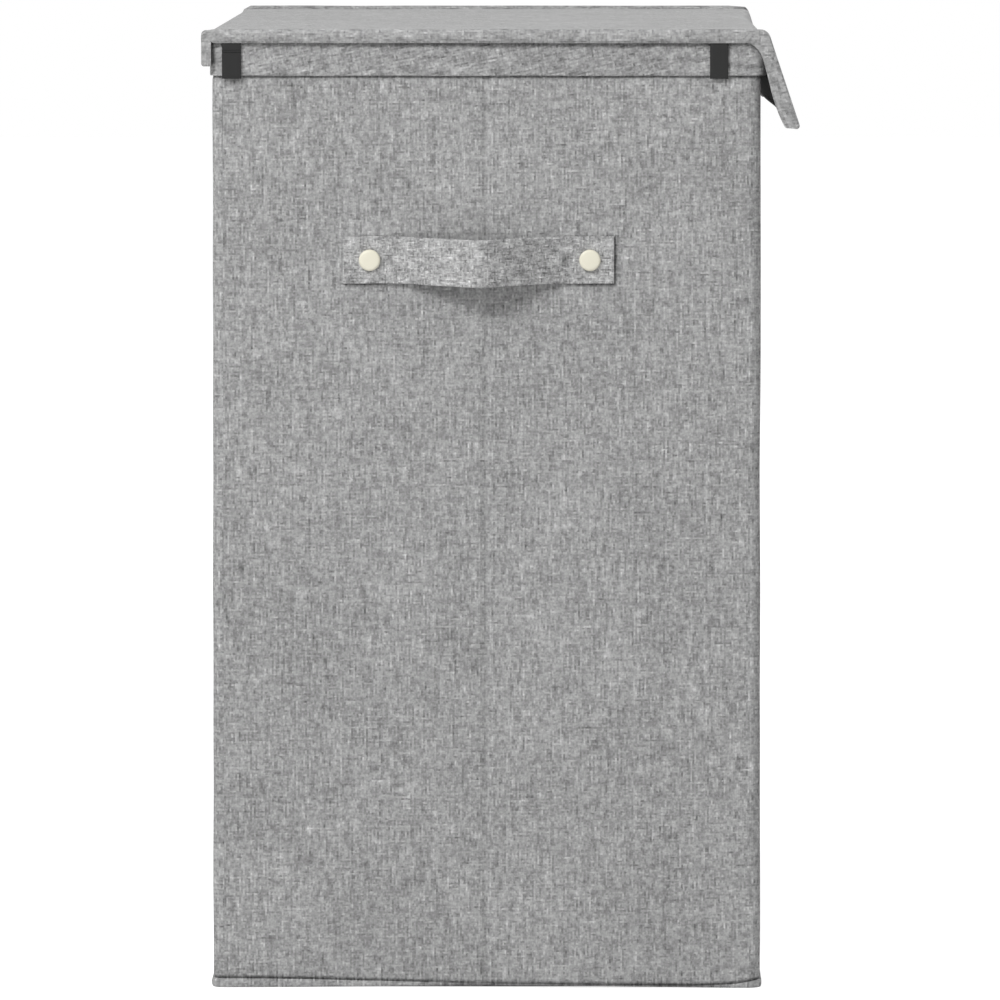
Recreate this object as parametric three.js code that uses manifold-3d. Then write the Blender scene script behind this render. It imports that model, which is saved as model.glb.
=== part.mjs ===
// Folding laundry hamper with two removable bags, in millimetres, +Z up.
// The long walls run along Y. The back wall is at -X and carries the lid, and the
// lid's flap hangs in front of the front wall at +X. Each end is two half panels
// that fold inwards at a centre crease. The origin is the middle of the underside.

import * as THREE from 'three';
import { mergeVertices } from 'three/addons/utils/BufferGeometryUtils.js';
import Module from 'manifold-3d';

// Overall sizes
const bodyWidth = 340;
const bodyLength = 600;
const lidTopHeight = 598;

// Clearances
const touchGap = 0.3;
const foldGap = 0.4;
const cutOverrun = 5;

// Walls: a fabric pocket round a stiff board
const fabricThickness = 0.8;
const boardThickness = 3;
const pocketTopFabric = 1.5;
const boardTopClearance = 2;
const boardEndClearance = 1.5;
const sheetThickness = 1;

// Rim binding, folded over the top edge of every wall
const bandThickness = 1;
const bandHeight = 19;

// Black hooks over the rim at both ends
const hookThickness = 1.8;
const hookWidth = 12.5;
const hookOuterDrop = 23;
const hookInnerDrop = 31;
const hookLeftFromSide = 12;
const hookRightFromSide = 23.3;

// Lid, its back strip and its front flap
const lidThickness = 6.8;
const lidEndOverhang = 3.8;
const lidBoardThickness = 4;
const liningThickness = 1;
const hingeStandoff = 0.3;
const skirtTopClearance = 0.5;
const stripThickness = 6.2;
const stripHeight = 14;
const flapThickness = 7;
const flapReach = 63;
const flapRestAngle = 18;

// Folding floor
const floorBoardThickness = 3;
const floorBoardEndClearance = 4;

// Carrying handles, riveted to the half panels
const handleHeight = 30.6;
const handleThickness = 2.2;
const handleCentreHeight = 454;
const handleLeftEnd = 88.6;
const handleRightEnd = 80.2;
const handleFlatLength = 27;
const handleBow = 18;
const handleDroop = 4.4;
const handleSteps = 18;
const rivetLeftPlace = 72;
const rivetRightPlace = 64.8;
const rivetCapRadius = 6.5;
const rivetCapHeight = 2.4;
const rivetShankRadius = 2;
const rivetTailLength = 0.9;
const rivetTailRadius = 4;
const rivetCapSteps = 4;
const washerRadius = 6;
const washerThickness = 0.8;
const roundSides = 24;

// Bags and what holds them
const bagFabric = 1.2;
const bagHemThickness = 1.2;
const bagHemHeight = 30;
const bagCornerRadius = 14;
const bagCornerSteps = 4;
const bagSpacing = 3;
const bagTopBelowRim = 4;
const bagFloorClearance = 0.5;
const patchThickness = 2.2;
const patchWidth = 30;
const patchHeight = 20;
const patchBelowBand = 3;
const patchFromCentre = 12;
const tabThickness = 2;
const tabWidth = 28;
const tabLength = 70;

// Levels from the lid down to the walls
const lidUnderside = lidTopHeight - lidThickness;
const hookTop = lidUnderside - touchGap;
const bandTop = hookTop - hookThickness - touchGap;
const wallTop = bandTop - bandThickness - touchGap;
const wallBottom = sheetThickness + touchGap;
const bandBottom = bandTop - bandHeight;

// Planes of the walls, measured from the middle of the body
const wallThickness = boardThickness + 2 * (fabricThickness + touchGap);
const sideOuter = bodyWidth / 2;
const sideInner = sideOuter - wallThickness;
const endOuter = bodyLength / 2;
const endInner = endOuter - wallThickness;
const bandProud = touchGap + bandThickness;
const hookReach = touchGap + hookThickness;

// Folding axes. The corner axis stands in from the long wall, so that the rim
// binding and the hooks have room between the folded panels.
const cornerInset = 2 * bandProud + hookReach + touchGap;
const cornerAxisX = sideInner - cornerInset;
const legSetback = bandProud + touchGap;

// Lid and flap axes, just outside the top corners of the lid
const skirtInner = sideOuter + bandProud + touchGap;
const lidBackEdge = skirtInner + stripThickness;
const lidAxisX = lidBackEdge + hingeStandoff;
const lidAxisZ = lidTopHeight + hingeStandoff;
const lidFrontEdge = skirtInner + flapThickness;
const flapAxisX = lidFrontEdge + hingeStandoff;
const lidEnd = endOuter + lidEndOverhang;
const skirtTop = lidUnderside - skirtTopClearance;

// Bags, between the hooks of the ends and the patches of the long walls
const bagOuterX = sideInner - patchThickness - 2 * touchGap;
const bagOuterEnd = endInner - bandProud - hookReach - touchGap;
const bagInnerEnd = bagSpacing / 2;
const bagBottom = wallBottom + floorBoardThickness + bagFloorClearance;
const bagTop = wallTop - bagTopBelowRim;
const patchTop = bandBottom - patchBelowBand;

const finishes = {
  melangeFabric: { color: 0x9d9d9d, roughness: 0.95, metalness: 0 },
  bandFabric: { color: 0x9f9f9f, roughness: 0.95, metalness: 0 },
  lidFabric: { color: 0xb0b0b0, roughness: 0.93, metalness: 0 },
  handleFabric: { color: 0xa4a4a4, roughness: 0.95, metalness: 0 },
  blackLining: { color: 0x1c1c1c, roughness: 0.9, metalness: 0 },
  bagCloth: { color: 0xc9c6bd, roughness: 0.92, metalness: 0 },
  greyBoard: { color: 0x8c857a, roughness: 0.9, metalness: 0 },
  hookPlastic: { color: 0x383838, roughness: 0.5, metalness: 0 },
  rivetCap: { color: 0xece8d6, roughness: 0.35, metalness: 0 },
  steel: { color: 0xb9babd, roughness: 0.35, metalness: 1 },
  hookTape: { color: 0x24262a, roughness: 0.98, metalness: 0 },
};

const wasm = await Module();
wasm.setup();

// Solid helpers

function toSolid(geometry) {
  const bare = geometry.clone();
  bare.deleteAttribute('normal');
  bare.deleteAttribute('uv');
  const merged = mergeVertices(bare);
  const mesh = new wasm.Mesh({
    numProp: 3,
    vertProperties: new Float32Array(merged.attributes.position.array),
    triVerts: new Uint32Array(merged.index.array),
  });
  return new wasm.Manifold(mesh);
}

function toGeometry(solid) {
  const mesh = solid.getMesh();
  const geometry = new THREE.BufferGeometry();
  geometry.setAttribute('position', new THREE.BufferAttribute(mesh.vertProperties, 3));
  geometry.setIndex(new THREE.BufferAttribute(mesh.triVerts, 1));
  geometry.computeVertexNormals();
  return geometry;
}

function cut(geometry, ...tools) {
  return toGeometry(tools.reduce((left, tool) => left.subtract(toSolid(tool)), toSolid(geometry)));
}

function join(geometry, ...others) {
  return toGeometry(others.reduce((sum, other) => sum.add(toSolid(other)), toSolid(geometry)));
}

// A box between two opposite corners, given in any order
function block(a, b) {
  const low = a.map((value, axis) => Math.min(value, b[axis]));
  const size = a.map((value, axis) => Math.abs(value - b[axis]));
  const geometry = new THREE.BoxGeometry(...size);
  return geometry.translate(...low.map((value, axis) => value + size[axis] / 2));
}

// An upright prism over a plan outline of [x, y] points
function uprightPrism(outline, bottom, top) {
  const shape = new THREE.Shape(outline.map(([x, y]) => new THREE.Vector2(x, y)));
  const geometry = new THREE.ExtrudeGeometry(shape, { depth: top - bottom, bevelEnabled: false });
  return geometry.translate(0, 0, bottom);
}

// A round pin along Y
function pinAlongY(x, z, radius, fromY, toY) {
  const geometry = new THREE.CylinderGeometry(radius, radius, Math.abs(toY - fromY), roundSides);
  return geometry.translate(x, (fromY + toY) / 2, z);
}

// The outline of a rectangle with round corners, centred on the origin in x
function roundedOutline(halfWidth, yFrom, yTo, radius) {
  const centres = [
    [halfWidth - radius, yTo - radius],
    [radius - halfWidth, yTo - radius],
    [radius - halfWidth, yFrom + radius],
    [halfWidth - radius, yFrom + radius],
  ];
  return centres.flatMap(([x, y], corner) =>
    Array.from({ length: bagCornerSteps + 1 }, (_, step) => {
      const angle = (corner + step / bagCornerSteps) * Math.PI / 2;
      return [x + radius * Math.cos(angle), y + radius * Math.sin(angle)];
    }));
}

function piece(parent, name, geometry, finish) {
  const mesh = new THREE.Mesh(geometry, new THREE.MeshStandardMaterial(finishes[finish]));
  mesh.name = name;
  parent.add(mesh);
  return mesh;
}

const hamper = new THREE.Group();
hamper.name = 'laundry_hamper';

// Long walls. They are drawn at -X and turned half round for the front wall.

// Plan of a long wall, whose ends return round the corners as far as the corner
// axis. A positive skin thickens the wall on both faces.
function longWallOutline(skin) {
  const outer = -sideOuter - skin;
  const inner = -sideInner + skin;
  const tip = -cornerAxisX - foldGap / 2;
  const farOuter = endOuter + skin;
  const farInner = endInner - skin;
  return [
    [outer, -farOuter], [tip, -farOuter], [tip, -farInner], [inner, -farInner],
    [inner, farInner], [tip, farInner], [tip, farOuter], [outer, farOuter],
  ];
}

function buildLongWall(name, floorBoardName, turn) {
  const wall = new THREE.Group();
  wall.rotation.z = turn;
  const boardOuter = -sideOuter + fabricThickness + touchGap;
  const boardHalfLength = endInner - boardEndClearance;
  const boardTop = wallTop - pocketTopFabric - boardTopClearance;
  const pocket = block(
    [boardOuter - touchGap, -boardHalfLength - touchGap, wallBottom - cutOverrun],
    [boardOuter + boardThickness + touchGap, boardHalfLength + touchGap, wallTop - pocketTopFabric],
  );
  const cover = cut(uprightPrism(longWallOutline(0), wallBottom, wallTop), pocket);
  piece(wall, `${name}_cover`, cover, 'melangeFabric');
  const board = block(
    [boardOuter, -boardHalfLength, wallBottom],
    [boardOuter + boardThickness, boardHalfLength, boardTop],
  );
  piece(wall, `${name}_board`, board, 'greyBoard');
  const band = cut(
    uprightPrism(longWallOutline(bandProud), bandBottom, bandTop),
    uprightPrism(longWallOutline(touchGap), bandBottom - cutOverrun, wallTop + touchGap),
  );
  piece(wall, `${name}_band`, band, 'bandFabric');

  // The floor board's ends run at 45 degrees, clear of the end panels as all fold up
  const rootEnd = endInner - floorBoardEndClearance;
  const boardReach = cornerAxisX - foldGap;
  const tipEnd = rootEnd - boardReach;
  const hingeEdge = -cornerAxisX + foldGap / 2;
  const floorOutline = [
    [hingeEdge, -rootEnd], [hingeEdge + boardReach - foldGap / 2, -tipEnd],
    [hingeEdge + boardReach - foldGap / 2, tipEnd], [hingeEdge, rootEnd],
  ];
  const floorBoard = uprightPrism(floorOutline, wallBottom, wallBottom + floorBoardThickness);
  piece(wall, floorBoardName, floorBoard, 'blackLining');
  hamper.add(wall);
  return wall;
}

// Patches of hook tape on the inner faces, where the bags are held near the middle
function buildPatches(wall, names) {
  names.forEach((name, index) => {
    const side = index === 0 ? -1 : 1;
    const patch = block(
      [-sideInner + touchGap, side * patchFromCentre, patchTop - patchHeight],
      [-sideInner + touchGap + patchThickness, side * (patchFromCentre + patchWidth), patchTop],
    );
    piece(wall, name, patch, 'hookTape');
  });
}

const backWall = buildLongWall('back_wall', 'rear_floor_board', 0);
buildPatches(backWall, ['near_back_patch', 'far_back_patch']);
const frontWall = buildLongWall('front_wall', 'front_floor_board', Math.PI);
buildPatches(frontWall, ['far_front_patch', 'near_front_patch']);

const floorSheet = block([-sideOuter, -endOuter, 0], [sideOuter, endOuter, sheetThickness]);
piece(hamper, 'floor_sheet', floorSheet, 'blackLining');

// Ends. They are drawn at -Y and turned half round for the far end. The half
// panel at the drawing's left has side -1.

function buildHalfPanel(end, name, side, rivetPlace) {
  const nearCorner = side * (cornerAxisX - foldGap / 2);
  const nearCrease = side * foldGap / 2;
  const legCorner = side * (cornerAxisX - legSetback);
  const pocketInset = fabricThickness + boardEndClearance;
  const boardFace = -endOuter + fabricThickness + touchGap;
  const boardTop = wallTop - pocketTopFabric - boardTopClearance;
  const rivetHole = pinAlongY(
    side * rivetPlace, handleCentreHeight, rivetShankRadius + touchGap,
    -endOuter - cutOverrun, -endInner + cutOverrun,
  );
  const pocket = block(
    [nearCorner - side * pocketInset, boardFace - touchGap, wallBottom - cutOverrun],
    [
      nearCrease + side * pocketInset,
      boardFace + boardThickness + touchGap,
      wallTop - pocketTopFabric,
    ],
  );
  const slab = block([nearCorner, -endOuter, wallBottom], [nearCrease, -endInner, wallTop]);
  piece(end, `${name}_cover`, cut(slab, pocket, rivetHole), 'melangeFabric');
  const board = block(
    [nearCorner - side * (pocketInset + touchGap), boardFace, wallBottom],
    [nearCrease + side * (pocketInset + touchGap), boardFace + boardThickness, boardTop],
  );
  piece(end, `${name}_board`, cut(board, rivetHole), 'greyBoard');

  // The inner leg of the binding stops short of the corner axis, to clear the
  // binding of the long wall as the panel folds in
  const bandBlock = block(
    [nearCorner, -endOuter - bandProud, bandBottom],
    [nearCrease, -endInner, bandTop],
  );
  const innerLeg = block(
    [legCorner, -endInner - touchGap, bandBottom],
    [nearCrease, -endInner + bandProud, bandTop],
  );
  const wallSlot = block(
    [nearCorner + side * cutOverrun, -endOuter - touchGap, bandBottom - cutOverrun],
    [nearCrease - side * cutOverrun, -endInner + touchGap, wallTop + touchGap],
  );
  piece(end, `${name}_band`, cut(join(bandBlock, innerLeg), wallSlot), 'bandFabric');
}

// A flat hook over the binding, whose inner leg clears the corner axis
function buildHook(end, name, side, place) {
  const outerFace = -endOuter - bandProud - touchGap;
  const innerFace = -endInner + bandProud + touchGap;
  const cornerEdge = side * (place + hookWidth / 2);
  const creaseEdge = side * (place - hookWidth / 2);
  const legEdge = side * Math.min(place + hookWidth / 2, cornerAxisX - legSetback);
  const bridge = block(
    [cornerEdge, outerFace - hookThickness, hookTop - hookThickness],
    [creaseEdge, innerFace + hookThickness, hookTop],
  );
  const outerLeg = block(
    [cornerEdge, outerFace - hookThickness, hookTop - hookOuterDrop],
    [creaseEdge, outerFace, hookTop],
  );
  const innerLeg = block(
    [legEdge, innerFace, hookTop - hookInnerDrop],
    [creaseEdge, innerFace + hookThickness, hookTop],
  );
  const overhang = block(
    [cornerEdge + side * cutOverrun, outerFace, hookTop - hookInnerDrop],
    [legEdge, innerFace + hookThickness + cutOverrun, hookTop + cutOverrun],
  );
  const bridgeOverPanel = legEdge === cornerEdge ? bridge : cut(bridge, overhang);
  piece(end, name, join(bridgeOverPanel, outerLeg, innerLeg), 'hookPlastic');
}

// A rivet with a domed cap outside, a shank through strap and panel, and a
// flattened tail on a washer inside. Its axis lies along Y.
function buildRivet(end, rivetName, washerName, x) {
  const capSeat = endOuter + touchGap + handleThickness + touchGap;
  const washerOuter = endInner - touchGap;
  const washerInner = washerOuter - washerThickness;
  const tail = washerInner - touchGap;
  const profile = [[0, capSeat + rivetCapHeight]];
  for (let step = 1; step <= rivetCapSteps; step += 1) {
    const angle = (step / rivetCapSteps) * Math.PI / 2;
    profile.push([rivetCapRadius * Math.sin(angle), capSeat + rivetCapHeight * Math.cos(angle)]);
  }
  profile.push(
    [rivetShankRadius, capSeat],
    [rivetShankRadius, tail],
    [rivetTailRadius, tail],
    [rivetTailRadius, tail - rivetTailLength],
    [0, tail - rivetTailLength],
  );
  const points = profile.reverse().map(([radius, reach]) => new THREE.Vector2(radius, reach));
  const rivet = piece(end, rivetName, new THREE.LatheGeometry(points, roundSides), 'rivetCap');
  rivet.position.set(x, 0, handleCentreHeight);
  rivet.rotation.z = Math.PI;
  const washerHole = pinAlongY(
    x, handleCentreHeight, rivetShankRadius + touchGap,
    -washerOuter - cutOverrun, -washerInner + cutOverrun,
  );
  const disc = pinAlongY(x, handleCentreHeight, washerRadius, -washerOuter, -washerInner);
  piece(end, washerName, cut(disc, washerHole), 'steel');
}

// The handle is a flat strap, riveted at its ends and bowed out between them,
// where it also hangs a little lower
function handleStations() {
  const spanFrom = handleFlatLength - handleLeftEnd;
  const spanTo = handleRightEnd - handleFlatLength;
  const stations = [{ x: -handleLeftEnd, out: 0, drop: 0 }];
  for (let step = 0; step <= handleSteps; step += 1) {
    const share = step / handleSteps;
    const swell = (1 - Math.cos(2 * Math.PI * share)) / 2;
    stations.push({
      x: spanFrom + share * (spanTo - spanFrom),
      out: handleBow * swell,
      drop: handleDroop * swell,
    });
  }
  stations.push({ x: handleRightEnd, out: 0, drop: 0 });
  return stations;
}

function handleGeometry() {
  const stations = handleStations();
  const wallSide = -endOuter - touchGap;
  const corners = [];
  stations.forEach((here, index) => {
    const before = stations[Math.max(index - 1, 0)];
    const after = stations[Math.min(index + 1, stations.length - 1)];
    const length = Math.hypot(after.x - before.x, after.out - before.out);
    const leanX = -(after.out - before.out) / length * handleThickness;
    const leanOut = (after.x - before.x) / length * handleThickness;
    const low = handleCentreHeight - handleHeight / 2 - here.drop;
    const high = low + handleHeight;
    const inner = [here.x, wallSide - here.out];
    const outer = [here.x + leanX, wallSide - here.out - leanOut];
    corners.push([...inner, low], [...outer, low], [...outer, high], [...inner, high]);
  });
  const index = [];
  const quad = (a, b, c, d) => index.push(a, b, c, a, c, d);
  for (let ring = 0; ring < stations.length - 1; ring += 1) {
    const first = ring * 4;
    for (let side = 0; side < 4; side += 1) {
      const next = (side + 1) % 4;
      quad(first + side, first + 4 + side, first + 4 + next, first + next);
    }
  }
  const last = (stations.length - 1) * 4;
  quad(0, 1, 2, 3);
  quad(last + 3, last + 2, last + 1, last);
  const geometry = new THREE.BufferGeometry();
  geometry.setAttribute('position', new THREE.Float32BufferAttribute(corners.flat(), 3));
  geometry.setIndex(index);
  const holes = [-rivetLeftPlace, rivetRightPlace].map((x) => pinAlongY(
    x, handleCentreHeight, rivetShankRadius + touchGap, -endOuter - cutOverrun, -endOuter + cutOverrun,
  ));
  return cut(geometry, ...holes);
}

function buildEnd(prefix, leftHalf, rightHalf, turn) {
  const end = new THREE.Group();
  end.rotation.z = turn;
  buildHalfPanel(end, leftHalf, -1, rivetLeftPlace);
  buildHalfPanel(end, rightHalf, 1, rivetRightPlace);
  buildHook(end, `${leftHalf}_hook`, -1, sideOuter - hookLeftFromSide);
  buildHook(end, `${rightHalf}_hook`, 1, sideOuter - hookRightFromSide);
  buildRivet(end, `${leftHalf}_rivet`, `${leftHalf}_washer`, -rivetLeftPlace);
  buildRivet(end, `${rightHalf}_rivet`, `${rightHalf}_washer`, rivetRightPlace);
  piece(end, `${prefix}_handle`, handleGeometry(), 'handleFabric');
  hamper.add(end);
}

buildEnd('near', 'near_rear', 'near_front', 0);
buildEnd('far', 'far_front', 'far_rear', Math.PI);

// Bags. The near one is drawn, and turned half round for the far one.

function bagGeometry() {
  const floorTop = bagBottom + bagFabric;
  const hemBottom = bagTop - bagHemHeight;
  const outline = (inset) => roundedOutline(
    bagOuterX - inset, inset - bagOuterEnd, -bagInnerEnd - inset, bagCornerRadius - inset,
  );
  const body = uprightPrism(outline(0), bagBottom, bagTop);
  const inside = uprightPrism(outline(bagFabric), floorTop, hemBottom);
  const mouthOutline = outline(bagFabric + bagHemThickness);
  const mouth = uprightPrism(mouthOutline, hemBottom - bagFabric, bagTop + cutOverrun);
  return cut(body, inside, mouth);
}

// Pull tabs hang flat inside the bag from its hem, one at each long side
function buildBag(name, tabNames, turn) {
  const bag = new THREE.Group();
  bag.rotation.z = turn;
  piece(bag, name, bagGeometry(), 'bagCloth');
  const middle = -(bagOuterEnd + bagInnerEnd) / 2;
  tabNames.forEach((tabName, index) => {
    const side = index === 0 ? -1 : 1;
    const face = bagOuterX - bagFabric - bagHemThickness - touchGap;
    const tab = block(
      [side * face, middle - tabWidth / 2, bagTop - tabLength],
      [side * (face - tabThickness), middle + tabWidth / 2, bagTop],
    );
    piece(bag, tabName, tab, 'bagCloth');
  });
  hamper.add(bag);
}

buildBag('near_bag', ['near_bag_back_tab', 'near_bag_front_tab'], 0);
buildBag('far_bag', ['far_bag_front_tab', 'far_bag_back_tab'], Math.PI);

// Lid, with its strip down the back wall and its flap down the front wall

// A fabric tray, open on one face, whose board is closed in by a lining. It is
// drawn flat, open downwards, between two corners in plan.
function buildLinedPanel(parent, name, xFrom, xTo, top, bottom, coverFinish) {
  const shell = block([xFrom, -lidEnd, bottom], [xTo, lidEnd, top]);
  const rim = fabricThickness;
  const inset = rim + touchGap;
  const hollow = block(
    [xFrom + rim, rim - lidEnd, bottom - cutOverrun],
    [xTo - rim, lidEnd - rim, top - rim],
  );
  piece(parent, `${name}_cover`, cut(shell, hollow), coverFinish);
  const boardTop = top - inset;
  const boardBottom = Math.max(boardTop - lidBoardThickness, bottom + liningThickness + touchGap);
  const board = block(
    [xFrom + inset, inset - lidEnd, boardBottom],
    [xTo - inset, lidEnd - inset, boardTop],
  );
  piece(parent, `${name}_board`, board, 'greyBoard');
  const lining = block(
    [xFrom + inset, inset - lidEnd, bottom],
    [xTo - inset, lidEnd - inset, boardBottom - touchGap],
  );
  piece(parent, `${name}_lining`, lining, 'blackLining');
}

const lid = new THREE.Group();
lid.position.set(-lidAxisX, 0, lidAxisZ);
buildLinedPanel(
  lid, 'lid', lidAxisX - lidBackEdge, lidAxisX + lidFrontEdge,
  -hingeStandoff, -hingeStandoff - lidThickness, 'lidFabric',
);
hamper.add(lid);

const strip = block(
  [-skirtInner, -lidEnd, skirtTop - stripHeight],
  [-lidBackEdge, lidEnd, skirtTop],
);
piece(hamper, 'lid_back_strip', strip, 'bandFabric');

// The flap is drawn level, as it lies when it carries on from the lid, and then
// turned down about its axis to where it hangs at rest
const flap = new THREE.Group();
flap.position.set(flapAxisX, 0, lidAxisZ);
flap.rotation.y = THREE.MathUtils.degToRad(90 - flapRestAngle);
buildLinedPanel(
  flap, 'flap', lidAxisZ - skirtTop, flapReach,
  -hingeStandoff, -hingeStandoff - flapThickness, 'melangeFabric',
);
hamper.add(flap);

export default hamper;
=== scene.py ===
"""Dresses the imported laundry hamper: sewn cloth over its boards, straps, hooks, bags and light."""
import logging
import math
from collections.abc import Callable, Sequence
from dataclasses import dataclass
from enum import Enum
from functools import cache
from typing import NamedTuple

import bmesh
import bpy
import numpy as np
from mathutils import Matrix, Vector, noise


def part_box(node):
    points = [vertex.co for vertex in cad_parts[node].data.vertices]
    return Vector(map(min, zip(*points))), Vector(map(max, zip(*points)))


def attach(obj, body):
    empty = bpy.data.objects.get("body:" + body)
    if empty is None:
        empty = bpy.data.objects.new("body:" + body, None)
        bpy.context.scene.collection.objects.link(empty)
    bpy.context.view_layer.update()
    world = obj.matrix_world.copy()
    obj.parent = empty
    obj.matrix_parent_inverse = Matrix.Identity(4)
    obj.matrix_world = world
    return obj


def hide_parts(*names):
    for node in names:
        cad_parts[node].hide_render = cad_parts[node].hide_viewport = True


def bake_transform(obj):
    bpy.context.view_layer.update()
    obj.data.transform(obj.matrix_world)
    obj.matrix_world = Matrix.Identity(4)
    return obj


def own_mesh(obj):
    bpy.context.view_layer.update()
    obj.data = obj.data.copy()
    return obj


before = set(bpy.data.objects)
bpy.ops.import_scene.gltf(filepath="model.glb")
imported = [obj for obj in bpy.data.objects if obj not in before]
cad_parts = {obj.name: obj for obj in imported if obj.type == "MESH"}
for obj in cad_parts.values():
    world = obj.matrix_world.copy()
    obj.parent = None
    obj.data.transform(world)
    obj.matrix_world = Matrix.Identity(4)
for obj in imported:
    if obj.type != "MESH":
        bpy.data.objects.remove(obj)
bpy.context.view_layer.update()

LOG = logging.getLogger("hamper")
MM = 0.001
WHITE = (1, 1, 1, 1)
SHARP_ANGLE = 40.0

# Sizes of the frame in millimetres
HALF_WIDTH, HALF_LENGTH, WALL = 170.0, 300.0, 5.2
WALL_FOOT, WALL_TOP = 1.0, 587.5
HINGE_X, STRIP_HALF, CREASE_HALF = 159.8, 4.0, 6.0
LID_TOP, LID_FOOT, LID_END = 598.0, 591.12, 304.0
LID_BACK, LID_FRONT = -176.8, 161.0
LID_DEPTH = 6.9
FLAP_AXIS, FLAP_LEAN, FLAP_TWIST = (178.9, 598.3), 18.0, 1.4
BAND_FOOT, BAND_TOP = 569.8, 590.8
HOOK_PLACES = (-158.0, 144.2)
STRAP_START, STRAP_END, STRAP_FOOT, STRAP_TOP, STRAP_FLAT = -89.3, 79.4, 440.8, 470.1, 27.0
STRAP_GAP, STRAP_THICK = 0.3, 2.2
RIVET_PLACES, RIVET_LEVEL, RIVET_TAIL = (-72.0, 64.8), 454.0, 292.5

Pair = tuple[float, float]
Point = tuple[float, float, float]
NEUTRAL: Point = (1.0, 1.0, 1.0)


def operator(operation: str, swapped: bool = False) -> Callable[..., "Value"]:
    """A method of Value that adds one Math node.

    Args:
        operation: Blender's name of the operation.
        swapped: whether the value comes last of the operands instead of first.

    Returns:
        The method.
    """
    def method(self: "Value", *others: "Value | float") -> "Value":
        """Adds the node for this value and the others."""
        return self.bench.math(operation, *((*others, self) if swapped else (self, *others)))

    return method


class Value:
    """A node's output that takes part in plain arithmetic, each operation adding its node."""

    __add__ = __radd__ = operator("ADD")
    __sub__, __rsub__ = operator("SUBTRACT"), operator("SUBTRACT", True)
    __mul__ = __rmul__ = operator("MULTIPLY")
    __truediv__, __rtruediv__ = operator("DIVIDE"), operator("DIVIDE", True)
    __pow__, at_least = operator("POWER"), operator("MAXIMUM")
    sine, absolute, whole = operator("SINE"), operator("ABSOLUTE"), operator("FLOOR")

    def __init__(self, bench: "Bench", socket: bpy.types.NodeSocket) -> None:
        """Wraps a socket of the bench's tree."""
        self.bench, self.socket = bench, socket

    def other(self, output: str) -> "Value":
        """Another output of the same node."""
        return Value(self.bench, self.socket.node.outputs[output])

    def rise(self, low: float, high: float) -> "Value":
        """A smooth step from 0 at the low value to 1 at the high one."""
        sockets = {"Value": self, "From Min": low, "From Max": high}
        return self.bench.node("ShaderNodeMapRange", {"interpolation_type": "SMOOTHSTEP"}, sockets)


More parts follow.
